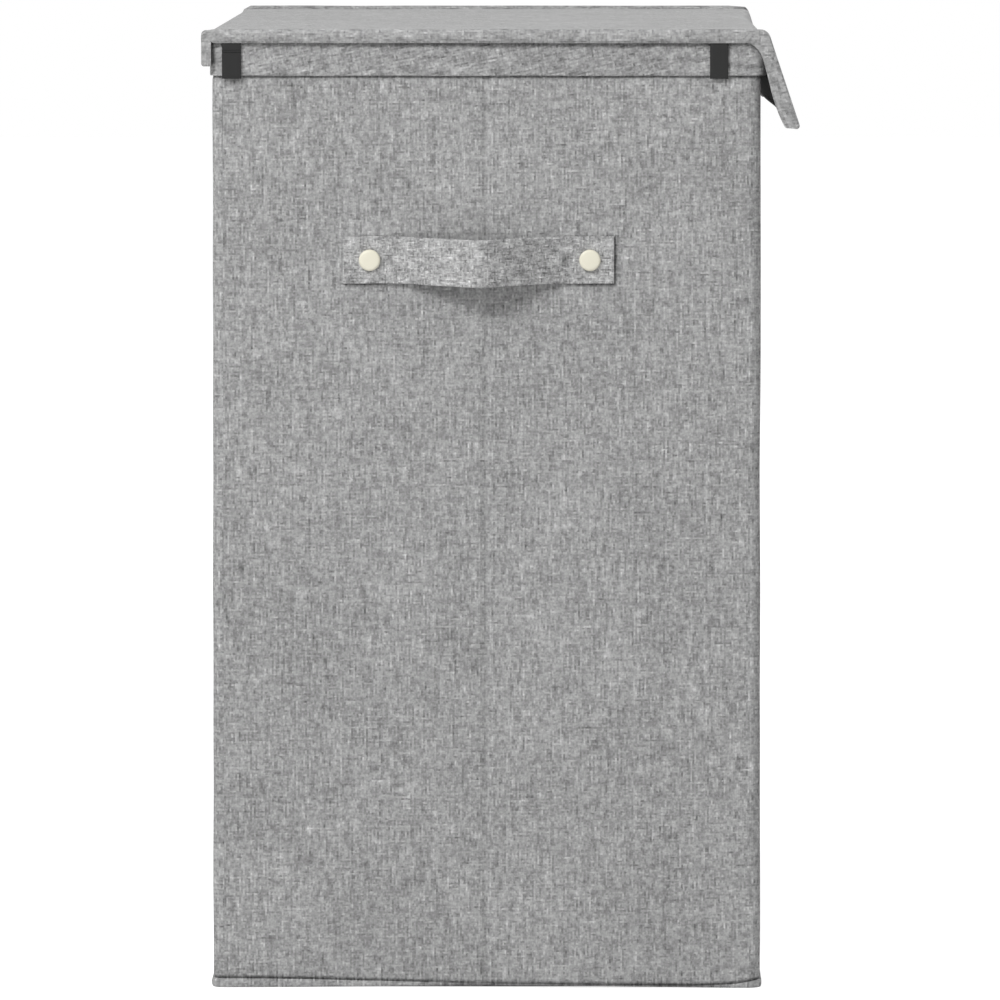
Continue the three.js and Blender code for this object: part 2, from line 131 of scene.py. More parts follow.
class Bench:
    """Builds the node tree of a material, of the world or of a modifier."""

    def __init__(self, owner: bpy.types.Material | bpy.types.World | bpy.types.NodeTree) -> None:
        """Starts an empty tree.

        Args:
            owner: the material or world that has the tree, or a node group itself.
        """
        self.owner, self.tree = owner, owner
        if not isinstance(owner, bpy.types.NodeTree):
            owner.use_nodes = True
            self.tree = owner.node_tree
        self.tree.nodes.clear()

    def node(
        self, kind: str, settings: dict[str, object] | None = None,
        sockets: dict[str | int, "Value | float | Sequence[float]"] | None = None,
        output: int | str | None = 0,
    ) -> Value | None:
        """Adds one node.

        Args:
            kind: the node's type.
            settings: attributes of the node, set first.
            sockets: values or links for its inputs, by name or number.
            output: which output to return, or None for a closing node.

        Returns:
            The chosen output, if any.
        """
        made = self.tree.nodes.new(kind)
        for key, value in (settings or {}).items():
            setattr(made, key, value)
        for key, value in (sockets or {}).items():
            if isinstance(value, Value):
                self.tree.links.new(value.socket, made.inputs[key])
            else:
                made.inputs[key].default_value = value
        return None if output is None else Value(self, made.outputs[output])

    def math(self, operation: str, *operands: Value | float) -> Value:
        """Adds a Math node with its operands in order."""
        return self.node("ShaderNodeMath", {"operation": operation}, dict(enumerate(operands)))

    def cloth_place(self) -> tuple[Value, Value]:
        """Reads the piece's own UV map.

        Returns:
            Millimetres across and along the cloth.
        """
        uv = self.node("ShaderNodeUVMap", {"uv_map": "cloth"})
        across = self.node("ShaderNodeSeparateXYZ", None, {0: uv}, "X")
        return across * 1000, across.other("Y") * 1000

    def object_place(self) -> Value:
        """The place in the object's own frame, in metres."""
        return self.node("ShaderNodeTexCoord", None, None, "Object")

    def sight(self) -> Value:
        """Tells what the camera sees, also by way of a mirror or of glass.

        Returns:
            1 for rays that it sends, or else 0.
        """
        camera = self.node("ShaderNodeLightPath", None, None, "Is Camera Ray")
        mirrored, passed = camera.other("Is Glossy Ray"), camera.other("Is Transmission Ray")
        return camera.at_least(mirrored).at_least(passed)

    def point(self, x: Value | float, y: Value | float, z: Value | float = 0.0) -> Value:
        """Joins three values to a vector."""
        return self.node("ShaderNodeCombineXYZ", None, {"X": x, "Y": y, "Z": z})

    def noise(self, place: Value, scale: float = 1.0, detail: float = 2.0) -> Value:
        """Soft noise from 0 to 1.

        Args:
            place: where it is read.
            scale: how many times finer than the place's unit.
            detail: how many finer layers it has.

        Returns:
            The noise.
        """
        return self.node(
            "ShaderNodeTexNoise", {"noise_dimensions": "3D"},
            {"Vector": place, "Scale": scale, "Detail": detail, "Roughness": 0.55},
        )

    def grey(self, tone: Value, tint: Point = NEUTRAL) -> Value:
        """Turns a tone as seen on screen into a colour.

        Args:
            tone: how light it looks, from 0 to 1.
            tint: a factor for each colour channel.

        Returns:
            The colour for a shader.
        """
        light = tone.at_least(0.005) ** 2.2
        return self.point(*(light * channel for channel in tint))

    def bump(self, height: Value, millimetres: float) -> Value:
        """A normal from a height map whose 1 stands that many millimetres high."""
        sockets = {"Strength": 1.0, "Distance": millimetres * MM, "Height": height}
        return self.node("ShaderNodeBump", None, sockets)

    def finish(
        self, colour: Value, roughness: Value | float, normal: Value, **fixed: float,
    ) -> bpy.types.Material:
        """Closes a material's tree with one shader.

        Args:
            colour: the base colour.
            roughness: the roughness.
            normal: the normal.
            fixed: further inputs of the shader, with underscores for spaces.

        Returns:
            The material.
        """
        sockets = {"Base Color": colour, "Roughness": roughness, "Normal": normal}
        sockets.update({key.replace("_", " "): value for key, value in fixed.items()})
        shader = self.node("ShaderNodeBsdfPrincipled", None, sockets)
        self.node("ShaderNodeOutputMaterial", None, {"Surface": shader}, None)
        return self.owner


@dataclass(frozen=True)
class Recipe:
    """What every finish has.

    Attributes:
        name: the material's name.
        slot: the record's material slot; not used.
        tone: how light it looks, from 0 to 1.
        tint: a factor for each colour channel.
    """

    name: str
    slot: str
    tone: float
    tint: Point = NEUTRAL


@dataclass(frozen=True)
class MelangeCloth(Recipe):
    """Linen-look cloth of light and dark yarns.

    Attributes:
        contrast: how far its yarns differ.
        knot: length of its short slubs in millimetres.
        slub: length of its long slubs in millimetres.
        yarn: width of a yarn in millimetres.
        turned: how far the yarns are turned from square, in degrees.
        crossing: share of the surface where the cross yarns lead.
        mottle: strength of the larger patches.
        sheen: strength of its soft shine.
        seed: shifts the pattern.
    """

    tone: float = 0.615
    contrast: float = 0.53
    knot: float = 3.4
    slub: float = 15.0
    yarn: float = 1.15
    turned: float = 0.0
    crossing: float = 0.45
    mottle: float = 0.36
    sheen: float = 0.08
    seed: float = 0.0

    def streaks(self, bench: Bench, line: Value, run: Value, seed: float) -> Value:
        """Light and dark lengths of one set of yarns.

        Args:
            bench: where the nodes are made.
            line: the number of the yarn.
            run: the place along it, in millimetres.
            seed: shifts the pattern.

        Returns:
            The shade, about 0 in the middle.
        """
        short = bench.noise(bench.point(line, run / self.knot, seed), 1.0, 1.0)
        long = bench.noise(bench.point(line, run / self.slub, seed + 2), 1.0, 1.0)
        return (short - 0.5) * 0.75 + (long - 0.5) * 0.8

    def build(self) -> bpy.types.Material:
        """Makes the material.

        Returns:
            The new material.
        """
        bench = Bench(bpy.data.materials.new(self.name))
        u, v = bench.cloth_place()
        cos, sin = math.cos(math.radians(self.turned)), math.sin(math.radians(self.turned))
        across, along = u * cos + v * sin + self.seed, v * cos - u * sin + self.seed
        first, second = across / self.yarn, along / self.yarn
        drift = bench.noise(bench.point(first / 12, second / 12, self.seed + 11)) * 0.7
        warp = self.streaks(bench, (first + drift).whole() * 7.13, along, self.seed)
        weft = self.streaks(bench, (second + drift).whole() * 7.13, across, self.seed + 7)
        top = bench.noise(bench.point(first / 2.2, second / 2.2, self.seed + 3), 1.0, 1.0)
        edge = 1 - self.crossing
        over = top.rise(edge - 0.12, edge + 0.12) * 0.64 + 0.18
        knots = bench.noise(bench.point(first / 1.1, second / 1.1, self.seed + 5), 1.0, 1.0)
        mottle = bench.noise(bench.point(across / 6, along / 7, self.seed + 6), 1.0, 3.0)
        cloud = bench.noise(bench.point(across / 70, along / 90, self.seed + 9))
        yarns = warp * (1 - over) * 1.25 + weft * over * 1.25
        patches = (mottle - 0.5) * self.mottle + (cloud - 0.5) * 0.18
        shade = yarns + (knots - 0.5) * 0.26 + patches
        # Painted shade: the attribute read here darkens the colour where shade is painted into a
        # piece, along a groove, under an overhang or in a cast shadow.
        painted_shade = bench.node("ShaderNodeAttribute", {"attribute_name": "painted_shade"}, None, "Fac")
        tone = shade * self.contrast + self.tone - painted_shade * 0.34
        turn = math.pi / self.yarn
        upright, level = ((place * turn).sine().absolute() for place in (across, along))
        ridges = upright * (1 - over) + level * over
        relief = bench.bump(ridges * 0.6 + yarns, 0.15)
        return bench.finish(
            bench.grey(tone, self.tint), 0.88 - yarns * 0.15, relief,
            Sheen_Weight=self.sheen, Sheen_Roughness=0.6, Specular_IOR_Level=0.15,
        )


@dataclass(frozen=True)
class PlainCloth(Recipe):
    """Bonded lining or woven bag cloth in one colour.

    Attributes:
        pitch: distance between threads or bonding dots in millimetres.
        relief: height of the weave in millimetres.
        uneven: how far the tone wanders.
    """

    pitch: float = 1.2
    relief: float = 0.1
    uneven: float = 0.05

    def build(self) -> bpy.types.Material:
        """Makes the material.

        Returns:
            The new material.
        """
        bench = Bench(bpy.data.materials.new(self.name))
        across, along = bench.cloth_place()
        turn = 2 * math.pi / self.pitch
        threads = (across * turn).sine() * (along * turn).sine() * 0.5 + 0.5
        fibre = bench.noise(bench.point(across / 0.7, along / 2.5), 1.0, 3.0)
        rub = bench.noise(bench.point(across / 30, along / 40), 1.0, 3.0)
        wander = (fibre - 0.5) * self.uneven + (rub - 0.5) * self.uneven
        return bench.finish(
            bench.grey(wander + threads * 0.012 + self.tone, self.tint), 0.82 + rub * 0.12,
            bench.bump(threads * 0.6 + fibre * 0.4, self.relief),
            Sheen_Weight=0.1, Specular_IOR_Level=0.25,
        )


class Speckle(NamedTuple):
    """The unevenness of a solid.

    Attributes:
        grain: scale and detail of its fine grain, and how far that shifts the tone.
        stain: the same of its broad stain.
        dulling: how far the stain shifts the roughness.
        relief: height of the grain in millimetres.
    """

    grain: Point
    stain: Point
    dulling: float
    relief: float


FIBRES = Speckle((900.0, 4.0, 0.08), (25.0, 3.0, 0.05), 0.1, 0.08)
MOULDING = Speckle((1500.0, 3.0, 0.012), (120.0, 3.0, 0.03), 0.15, 0.015)
TWIST = Speckle((2600.0, 1.0, 0.12), (90.0, 2.0, 0.05), 0.2, 0.06)


@dataclass(frozen=True)
class Solid(Recipe):
    """Pressed or wrapped board, plastic, lacquer, plated steel or twisted thread.

    Attributes:
        speckle: its unevenness.
        roughness: how dull it is.
        gloss: how strongly it mirrors, 0.5 for common plastic.
        metallic: 1 for bare metal.
        coat: strength of a clear coat.
    """

    speckle: Speckle = MOULDING
    roughness: float = 0.35
    gloss: float = 0.5
    metallic: float = 0.0
    coat: float = 0.0

    def build(self) -> bpy.types.Material:
        """Makes the material.

        Returns:
            The new material.
        """
        bench, speckle = Bench(bpy.data.materials.new(self.name)), self.speckle
        place = bench.object_place()
        grain = bench.noise(place, *speckle.grain[:2])
        stain = bench.noise(place, *speckle.stain[:2])
        tone = (grain - 0.5) * speckle.grain[2] + (stain - 0.5) * speckle.stain[2] + self.tone
        return bench.finish(
            bench.grey(tone, self.tint), (stain - 0.5) * speckle.dulling + self.roughness,
            bench.bump(grain, speckle.relief), Metallic=self.metallic, Coat_Weight=self.coat,
            Specular_IOR_Level=self.gloss,
        )


class Finish(Enum):
    """The finishes of the hamper."""

    WALL = MelangeCloth("wall_melange", "melange_fabric")
    BAND = MelangeCloth(
        "rim_binding", "band_fabric", tone=0.60, turned=11.0, crossing=0.55, mottle=0.5, seed=40.0,
    )
    LID = MelangeCloth(
        "lid_melange", "lid_fabric", tone=0.635, contrast=0.47, knot=3.8, crossing=0.42,
        sheen=0.22, seed=90.0,
    )
    FLAP = MelangeCloth("flap_melange", "melange_fabric", tone=0.62, seed=130.0)
    STRAP = MelangeCloth(
        "strap_weave", "handle_fabric", tone=0.652, contrast=0.68, knot=3.0, slub=8.0, yarn=0.9,
        crossing=0.52, mottle=0.55, seed=170.0,
    )
    LINING = PlainCloth("black_bonded_lining", "black_lining", 0.11)
    BAG = PlainCloth("bag_canvas", "bag_cloth", 0.77, (1.02, 1.0, 0.93), 0.9, 0.12, 0.04)
    WEBBING = PlainCloth("pull_tab_webbing", "bag_webbing", 0.55, (1.0, 1.0, 1.03), 1.8, 0.35, 0.08)
    TAPE = PlainCloth("hook_tape_pile", "hook_tape", 0.15, (1.0, 1.0, 1.05), 1.4, 0.5, 0.05)
    BOARD = Solid("pressed_grey_board", "grey_board", 0.54, (1.05, 1.0, 0.92), FIBRES, 0.9, 0.2)
    FLOOR_WRAP = Solid(
        "wrapped_floor_board", "floor_board", 0.13, (1.0, 1.0, 1.02), FIBRES, 0.9, 0.2,
    )
    HOOK = Solid("moulded_hook", "hook_plastic", 0.155, roughness=0.5, gloss=0.25)
    CAP = Solid("cream_cap", "rivet_cap", 0.89, (1.04, 1.0, 0.83), gloss=0.35, coat=0.15)
    STEEL = Solid("zinc_washer", "washer_steel", 0.72, (1.0, 1.0, 1.03), metallic=1.0)
    DARK_THREAD = Solid("dark_thread", "black_lining", 0.17, NEUTRAL, TWIST, 0.7, 0.3)
    PALE_THREAD = Solid("pale_thread", "bag_cloth", 0.66, (1.02, 1.0, 0.94), TWIST, 0.7, 0.3)

    @cache
    def material(self) -> bpy.types.Material:
        """The finish's material, made at its first use."""
        return self.value.build()


class Spot(NamedTuple):
    """One pair of points of a slab of cloth.

    Attributes:
        outer: the point on its outer side, in millimetres.
        inner: the point on its inner side.
        place: where on the cloth they are.
        painted_shade: shade painted into the colour at the outer point, from 0 to 1, where it lies
            in a groove or in shade.
    """

    outer: Point
    inner: Point
    place: Pair
    painted_shade: float = 0.0


class Cutting:
    """A piece being cut and sewn: points in millimetres, and faces with the cloth's own place."""

    def __init__(self) -> None:
        """Starts with nothing."""
        self.points: list[Sequence[float]] = []
        self.faces: list[list[int]] = []
        self.places: list[list[Pair]] = []
        self.inside: list[bool] = []
        # Shade painted into the colour, for each point that has some.
        self.painted_shade: dict[int, float] = {}

    def face(self, corners: list[int], places: list[Pair], inside: bool = False) -> None:
        """Adds a face.

        Args:
            corners: numbers of its points.
            places: the cloth's place at each, in millimetres.
            inside: whether it is on the lining's side.
        """
        self.faces.append(corners)
        self.places.append(places)
        self.inside.append(inside)

    def slab(self, spots: Sequence[Sequence[Spot]], closed: bool, pole: bool) -> None:
        """Adds a closed slab between two grids of points.

        Args:
            spots: the grids' points, by row and column.
            closed: whether the rows join up to a ring.
            pole: whether the first column is drawn together to a point.
        """
        outer, inner, place, painted_shade = (
            np.array([[spot[k] for spot in line] for line in spots], float) for k in range(4)
        )
        rows, columns = outer.shape[:2]
        start, count = len(self.points), rows * columns
        # Painted shade of the outer points, kept where there is some.
        self.painted_shade.update({start + k: float(r) for k, r in enumerate(painted_shade.ravel()) if r > 0.01})
        self.points += [tuple(p) for side in (outer, inner) for p in side.reshape(-1, 3)]
        steps = rows if closed else rows - 1
        pitch = float(np.linalg.norm(np.diff(place[:2, -1, 0])))

        def at(row: int, column: int, side: int) -> int:
            """Number of a grid point."""
            return start + side * count + (row % rows) * columns + column

        def cloth(row: int, column: int) -> Pair:
            """Place of a grid point on the cloth, also past the ring's seam."""
            u, v = place[row % rows, column]
            return (place[rows - 1, column][0] + pitch if row >= rows else u), v

        def rim(one: tuple[int, int], two: tuple[int, int], away: Pair, flip: bool) -> None:
            """Closes the gap between the two sides along one cell of an edge.

            Args:
                one: row and column where the cell starts.
                two: row and column where it ends.
                away: the way on the cloth in which the gap is laid out.
                flip: whether the face is turned round.
            """
            depth = float(np.linalg.norm(outer[one] - inner[one]))
            corners = [at(*one, 0), at(*one, 1), at(*two, 1), at(*two, 0)]
            (u0, v0), (u1, v1) = cloth(*one), cloth(*two)
            du, dv = away[0] * depth, away[1] * depth
            uv = [(u0, v0), (u0 + du, v0 + dv), (u1 + du, v1 + dv), (u1, v1)]
            self.face(corners[::-1] if flip else corners, uv[::-1] if flip else uv)

        for i in range(steps):
            for j in range(columns - 1):
                ring = [(i, j), (i + 1, j), (i + 1, j + 1), (i, j + 1)]
                uv = [cloth(*c) for c in ring]
                self.face([at(*c, 0) for c in ring], uv)
                self.face([at(*c, 1) for c in ring][::-1], uv[::-1], True)
            if not pole:
                rim((i, 0), (i + 1, 0), (0, -1), False)
            rim((i, columns - 1), (i + 1, columns - 1), (0, 1), True)
        for side, points in enumerate((outer, inner) if pole else ()):
            self.points.append(tuple(points[:, 0].mean(axis=0)))
            tip = len(self.points) - 1
            for i in range(steps):
                uv = [cloth(i, 0), cloth(i, 0), cloth(i + 1, 0)]
                self.face([at(i, 0, side), tip, at(i + 1, 0, side)], uv, side == 1)
        for i, away, flip in () if closed else ((0, -1, True), (rows - 1, 1, False)):
            for j in range(columns - 1):
                rim((i, j), (i, j + 1), (away, 0), flip)

    def sew(self, name: str, finish: Finish, lining: Finish | None = None) -> bpy.types.Object:
        """Makes the mesh object.

        Args:
            name: the piece's name.
            finish: its finish.
            lining: the finish of its inner side, if that differs.

        Returns:
            The object, at the origin, with its place in its mesh.
        """
        mesh = bpy.data.meshes.new(name)
        mesh.from_pydata([tuple(c * MM for c in p) for p in self.points], [], self.faces)
        flat = [c * MM for places in self.places for place in places for c in place]
        mesh.uv_layers.new(name="cloth").data.foreach_set("uv", flat)
        # Painted shade of every point, stored for the cloth's material to darken its colour.
        shade_by_point = [self.painted_shade.get(k, 0.0) for k in range(len(self.points))]
        mesh.attributes.new("painted_shade", "FLOAT", "POINT").data.foreach_set("value", shade_by_point)
        mesh.materials.append(finish.material())
        if lining:
            mesh.materials.append(lining.material())
            mesh.polygons.foreach_set("material_index", [int(x) for x in self.inside])
        work = bmesh.new()
        work.from_mesh(mesh)
        bmesh.ops.recalc_face_normals(work, faces=work.faces)
        if work.calc_volume(signed=True) < 0:
            bmesh.ops.reverse_faces(work, faces=work.faces)
        work.to_mesh(mesh)
        work.free()
        mesh.shade_smooth()
        mesh.set_sharp_from_angle(angle=math.radians(SHARP_ANGLE))
        piece = bpy.data.objects.new(name, mesh)
        bpy.context.scene.collection.objects.link(piece)
        LOG.info("%s: %d faces", name, len(self.faces))
        return piece


def sewn(
    name: str, spots: Sequence[Sequence[Spot]], finish: Finish, lining: Finish | None = None,
    closed: bool = False, pole: bool = False,
) -> bpy.types.Object:
    """Makes a piece from one slab.

    Args:
        name: the piece's name.
        spots: its points, by row and column.
        finish: its finish.
        lining: the finish of its inner side, if that differs.
        closed: whether the rows join up to a ring.
        pole: whether the first column is drawn together to a point.

    Returns:
        The piece.
    """
    cutting = Cutting()
    cutting.slab(spots, closed, pole)
    return cutting.sew(name, finish, lining)


def steps_between(
    start: float, end: float, pitch: float, marks: Sequence[float] = (),
) -> np.ndarray:
    """Divides a length, with extra stations at marks.

    Args:
        start: where it starts.
        end: where it ends.
        pitch: the widest step.
        marks: further stations, used where they lie between the two.

    Returns:
        The stations in order.
    """
    low, high = min(start, end), max(start, end)
    even = np.linspace(low, high, max(2, math.ceil((high - low) / pitch) + 1))
    extra = [m for m in marks if low + 0.05 < m < high - 0.05]
    kept = [s for s in even if s in (even[0], even[-1]) or all(abs(s - m) > 0.3 for m in extra)]
    return np.array(sorted(kept + extra))


def rounding(place: float, edge: float, radius: float) -> float:
    """How far a rounded edge draws back at a distance from it.

    Args:
        place: where along the surface.
        edge: where the edge is.
        radius: the rounding.

    Returns:
        The draw-back, 0 beyond the radius.
    """
    near = min(abs(place - edge) / radius, 1.0)
    return radius * (1 - math.sqrt(max(0.0, 1 - (1 - near) ** 2)))


def rounded(place: float, low: float, high: float, radius: float) -> float:
    """How far two rounded edges draw back at a place between them."""
    return rounding(place, low, radius) + rounding(place, high, radius)


def ripple(u: float, v: float, size: float, height: float, seed: float = 0.0) -> float:
    """Gentle unevenness of stretched cloth, between plus and minus its height."""
    return noise.noise(Vector((u / size, v / size, seed))) * height


def ease(value: float, start: float, end: float) -> float:
    """A smooth step from 0 at start to 1 at end."""
    t = min(max((value - start) / (end - start), 0.0), 1.0)
    return t * t * (3 - 2 * t)


def hill(value: float, width: float) -> float:
    """A smooth hill, 1 at 0 and falling off over its width to both sides."""
    return math.exp(-((value / width) ** 2))


def lengths(path: Sequence[Pair]) -> np.ndarray:
    """The walk along a path to each of its points."""
    return np.cumsum([0] + [math.dist(a, b) for a, b in zip(path, path[1:])])


def over_rim(out: float, inn: float, top: float, radius: float, count: int) -> list[Pair]:
    """The two rounded corners of what is folded over the rim.

    Args:
        out: depth of its outer side.
        inn: depth of its inner side.
        top: its height.
        radius: the rounding.
        count: points in a corner.

    Returns:
        Depth and height of every point.
    """
    turns = [(math.cos(a), math.sin(a)) for a in np.linspace(0, math.pi / 2, count)]
    rise = [(out + radius - radius * cos, top - radius + radius * sin) for cos, sin in turns]
    return rise + [(inn - radius + radius * sin, top - radius + radius * cos) for cos, sin in turns]


@dataclass(frozen=True)
class WallPlan:
    """Outline of the walls in plan, walked from the middle of the near end to the front wall.

    Attributes:
        corner: outer radius of the corners.
    """

    corner: float = 6.0

    @property
    def straight(self) -> float:
        """Where the near end's straight stops."""
        return HALF_WIDTH - self.corner

    @property
    def arc(self) -> float:
        """Length of a corner."""
        return self.corner * math.pi / 2

    @property
    def side(self) -> float:
        """Length of a long wall's straight."""
        return 2 * (HALF_LENGTH - self.corner)

    @property
    def half(self) -> float:
        """Walk from the middle of the near end to the middle of the far end."""
        return 2 * self.straight + 2 * self.arc + self.side

    def at(self, along: float, depth: float) -> Pair:
        """A point of the outline.

        Args:
            along: the walk to it.
            depth: how far inside the outer face it lies.

        Returns:
            Its x and y.
        """
        turned = 1.0
        along = (along + self.half) % (2 * self.half) - self.half
        if abs(along) > self.half / 2:
            along -= math.copysign(self.half, along)
            turned = -1.0
        mirror = math.copysign(1.0, along)
        walk = abs(along)
        radius = max(self.corner - depth, 0.3)
        if walk <= self.straight:
            x, y = walk, -HALF_LENGTH + depth
        elif walk <= self.straight + self.arc:
            angle = (walk - self.straight) / self.corner
            x = self.straight + radius * math.sin(angle)
            y = -(HALF_LENGTH - self.corner) - radius * math.cos(angle)
        else:
            x = HALF_WIDTH - depth
            y = -(HALF_LENGTH - self.corner) + walk - self.straight - self.arc
        return turned * mirror * x, turned * y

    def seen(self, along: float) -> Pair:
        """Place across the end as seen from outside, and how far it lies behind the end's face."""
        x, y = self.at(along, 0.0)
        return -math.copysign(1.0, y) * x, HALF_LENGTH - abs(y)

    def far(self, x: float) -> float:
        """The walk to a place on the far end."""
        return self.half - x


PLAN = WallPlan()


@dataclass(frozen=True)
class Stretch:
    """A stretch of the walls between two joints, and the bodies it lies on.

    Attributes:
        name: its name.
        start: where on the outline it starts.
        end: where it ends.
        bodies: one body, or the two on either side of its hinge or crease.
        bend: x and y in millimetres where the hinge or crease that it spans starts and ends.
        covers: the CAD cover that it stands for, if any.
    """

    name: str
    start: float
    end: float
    bodies: tuple[str, ...]
    bend: tuple[Pair, Pair] | None = None
    covers: str | None = None

    def carry(self, piece: bpy.types.Object, kind: str) -> None:
        """Hangs a piece on the stretch's body, or, where the stretch spans a hinge or crease, leaves
        it in place in the frame.

        Args:
            piece: the finished piece.
            kind: what it stands for in the CAD, such as cover or band, or nothing.
        """
        if self.covers and kind:
            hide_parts(f"{self.covers}_{kind}")
        if self.bend is None:
            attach(piece, self.bodies[0])
            return
        start, end = ((x * MM, y * MM, 0.3) for x, y in self.bend)
        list(self.bodies)
        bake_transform(piece)
        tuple(start)
        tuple(end)


def wall_stretches() -> list[Stretch]:
    """Divides the walls into the stretches all round the hamper.

    Returns:
        The stretches in order.
    """
    root, tip = HINGE_X + STRIP_HALF, HINGE_X - STRIP_HALF
    far, crease, y = PLAN.far, CREASE_HALF, HALF_LENGTH
    whole = 2 * PLAN.half
    return [
        Stretch("near_rear", -root, -crease, ("back_wall", "near_rear_panel"),
                ((-root, -y), (-tip, -y)), "near_rear"),
        Stretch("near_crease", -crease, crease, ("near_rear_panel", "near_front_panel"),
                ((-crease, -y), (crease, -y))),
        Stretch("near_front", crease, root, ("near_front_panel", "front_wall"),
                ((tip, -y), (root, -y)), "near_front"),
        Stretch("front_wall", root, far(HINGE_X + 0.2), ("front_wall",), None, "front_wall"),
        Stretch("far_front", far(HINGE_X - 0.2), far(crease), ("far_front_panel",), None,
                "far_front"),
        Stretch("far_crease", far(crease), far(-crease), ("far_front_panel", "far_rear_panel"),
                ((crease, y), (-crease, y))),
        Stretch("far_rear", far(-crease), far(-root), ("far_rear_panel", "back_wall"),
                ((-tip, y), (-root, y)), "far_rear"),
        Stretch("back_wall", far(-root), whole - root, ("back_wall",), None, "back_wall"),
    ]


@cache
def wall_marks() -> list[float]:
    """Finds the stations on the outline that creases, straps, corners and hinges need.

    Returns:
        The stations in order, also past the outline's end.
    """
    found: list[float] = []
    for middle in (0.0, PLAN.half):
        found += [middle + d for d in (-4.5, -3, -2, -1, 0, 1, 2, 3, 4.5)]
        found += [middle + STRAP_END + d for d in (-0.4, 0.1, 0.7, 1.4, 2.4)]
        found += [middle + STRAP_START - d for d in (-0.4, 0.1, 0.9, 1.9)]
        for side in (-1, 1):
            corner = middle + side * PLAN.straight
            found += [corner + side * PLAN.arc * k / 6 for k in range(7)]
            found += [middle + side * (HINGE_X + k) for k in range(-4, 5)]
    return sorted(set(found + [f + 2 * PLAN.half for f in found]))


@dataclass(frozen=True)
class AllRound:
    """Cloth that goes all round the hamper, made stretch by stretch.

    Attributes:
        suffix: end of its pieces' names.
        kind: what they stand for in the CAD, such as cover or band, or nothing.
        finish: their finish.
        lining: the finish of their inner side, if that differs.
        pitch: size of the mesh's cells.
    """

    suffix: str
    kind: str = ""
    finish: Finish = Finish.WALL
    lining: Finish | None = None
    pitch: float = 6.0

    def line(self, along: float) -> list[Spot]:
        """The spots of one upright line at a place on the outline."""
        raise NotImplementedError

    def build(self) -> None:
        """Makes every stretch."""
        for stretch in wall_stretches():
            walk = steps_between(stretch.start, stretch.end, self.pitch, wall_marks())
            spots = [self.line(along) for along in walk]
            piece = sewn(f"{stretch.name}_{self.suffix}", spots, self.finish, self.lining)
            stretch.carry(piece, self.kind)


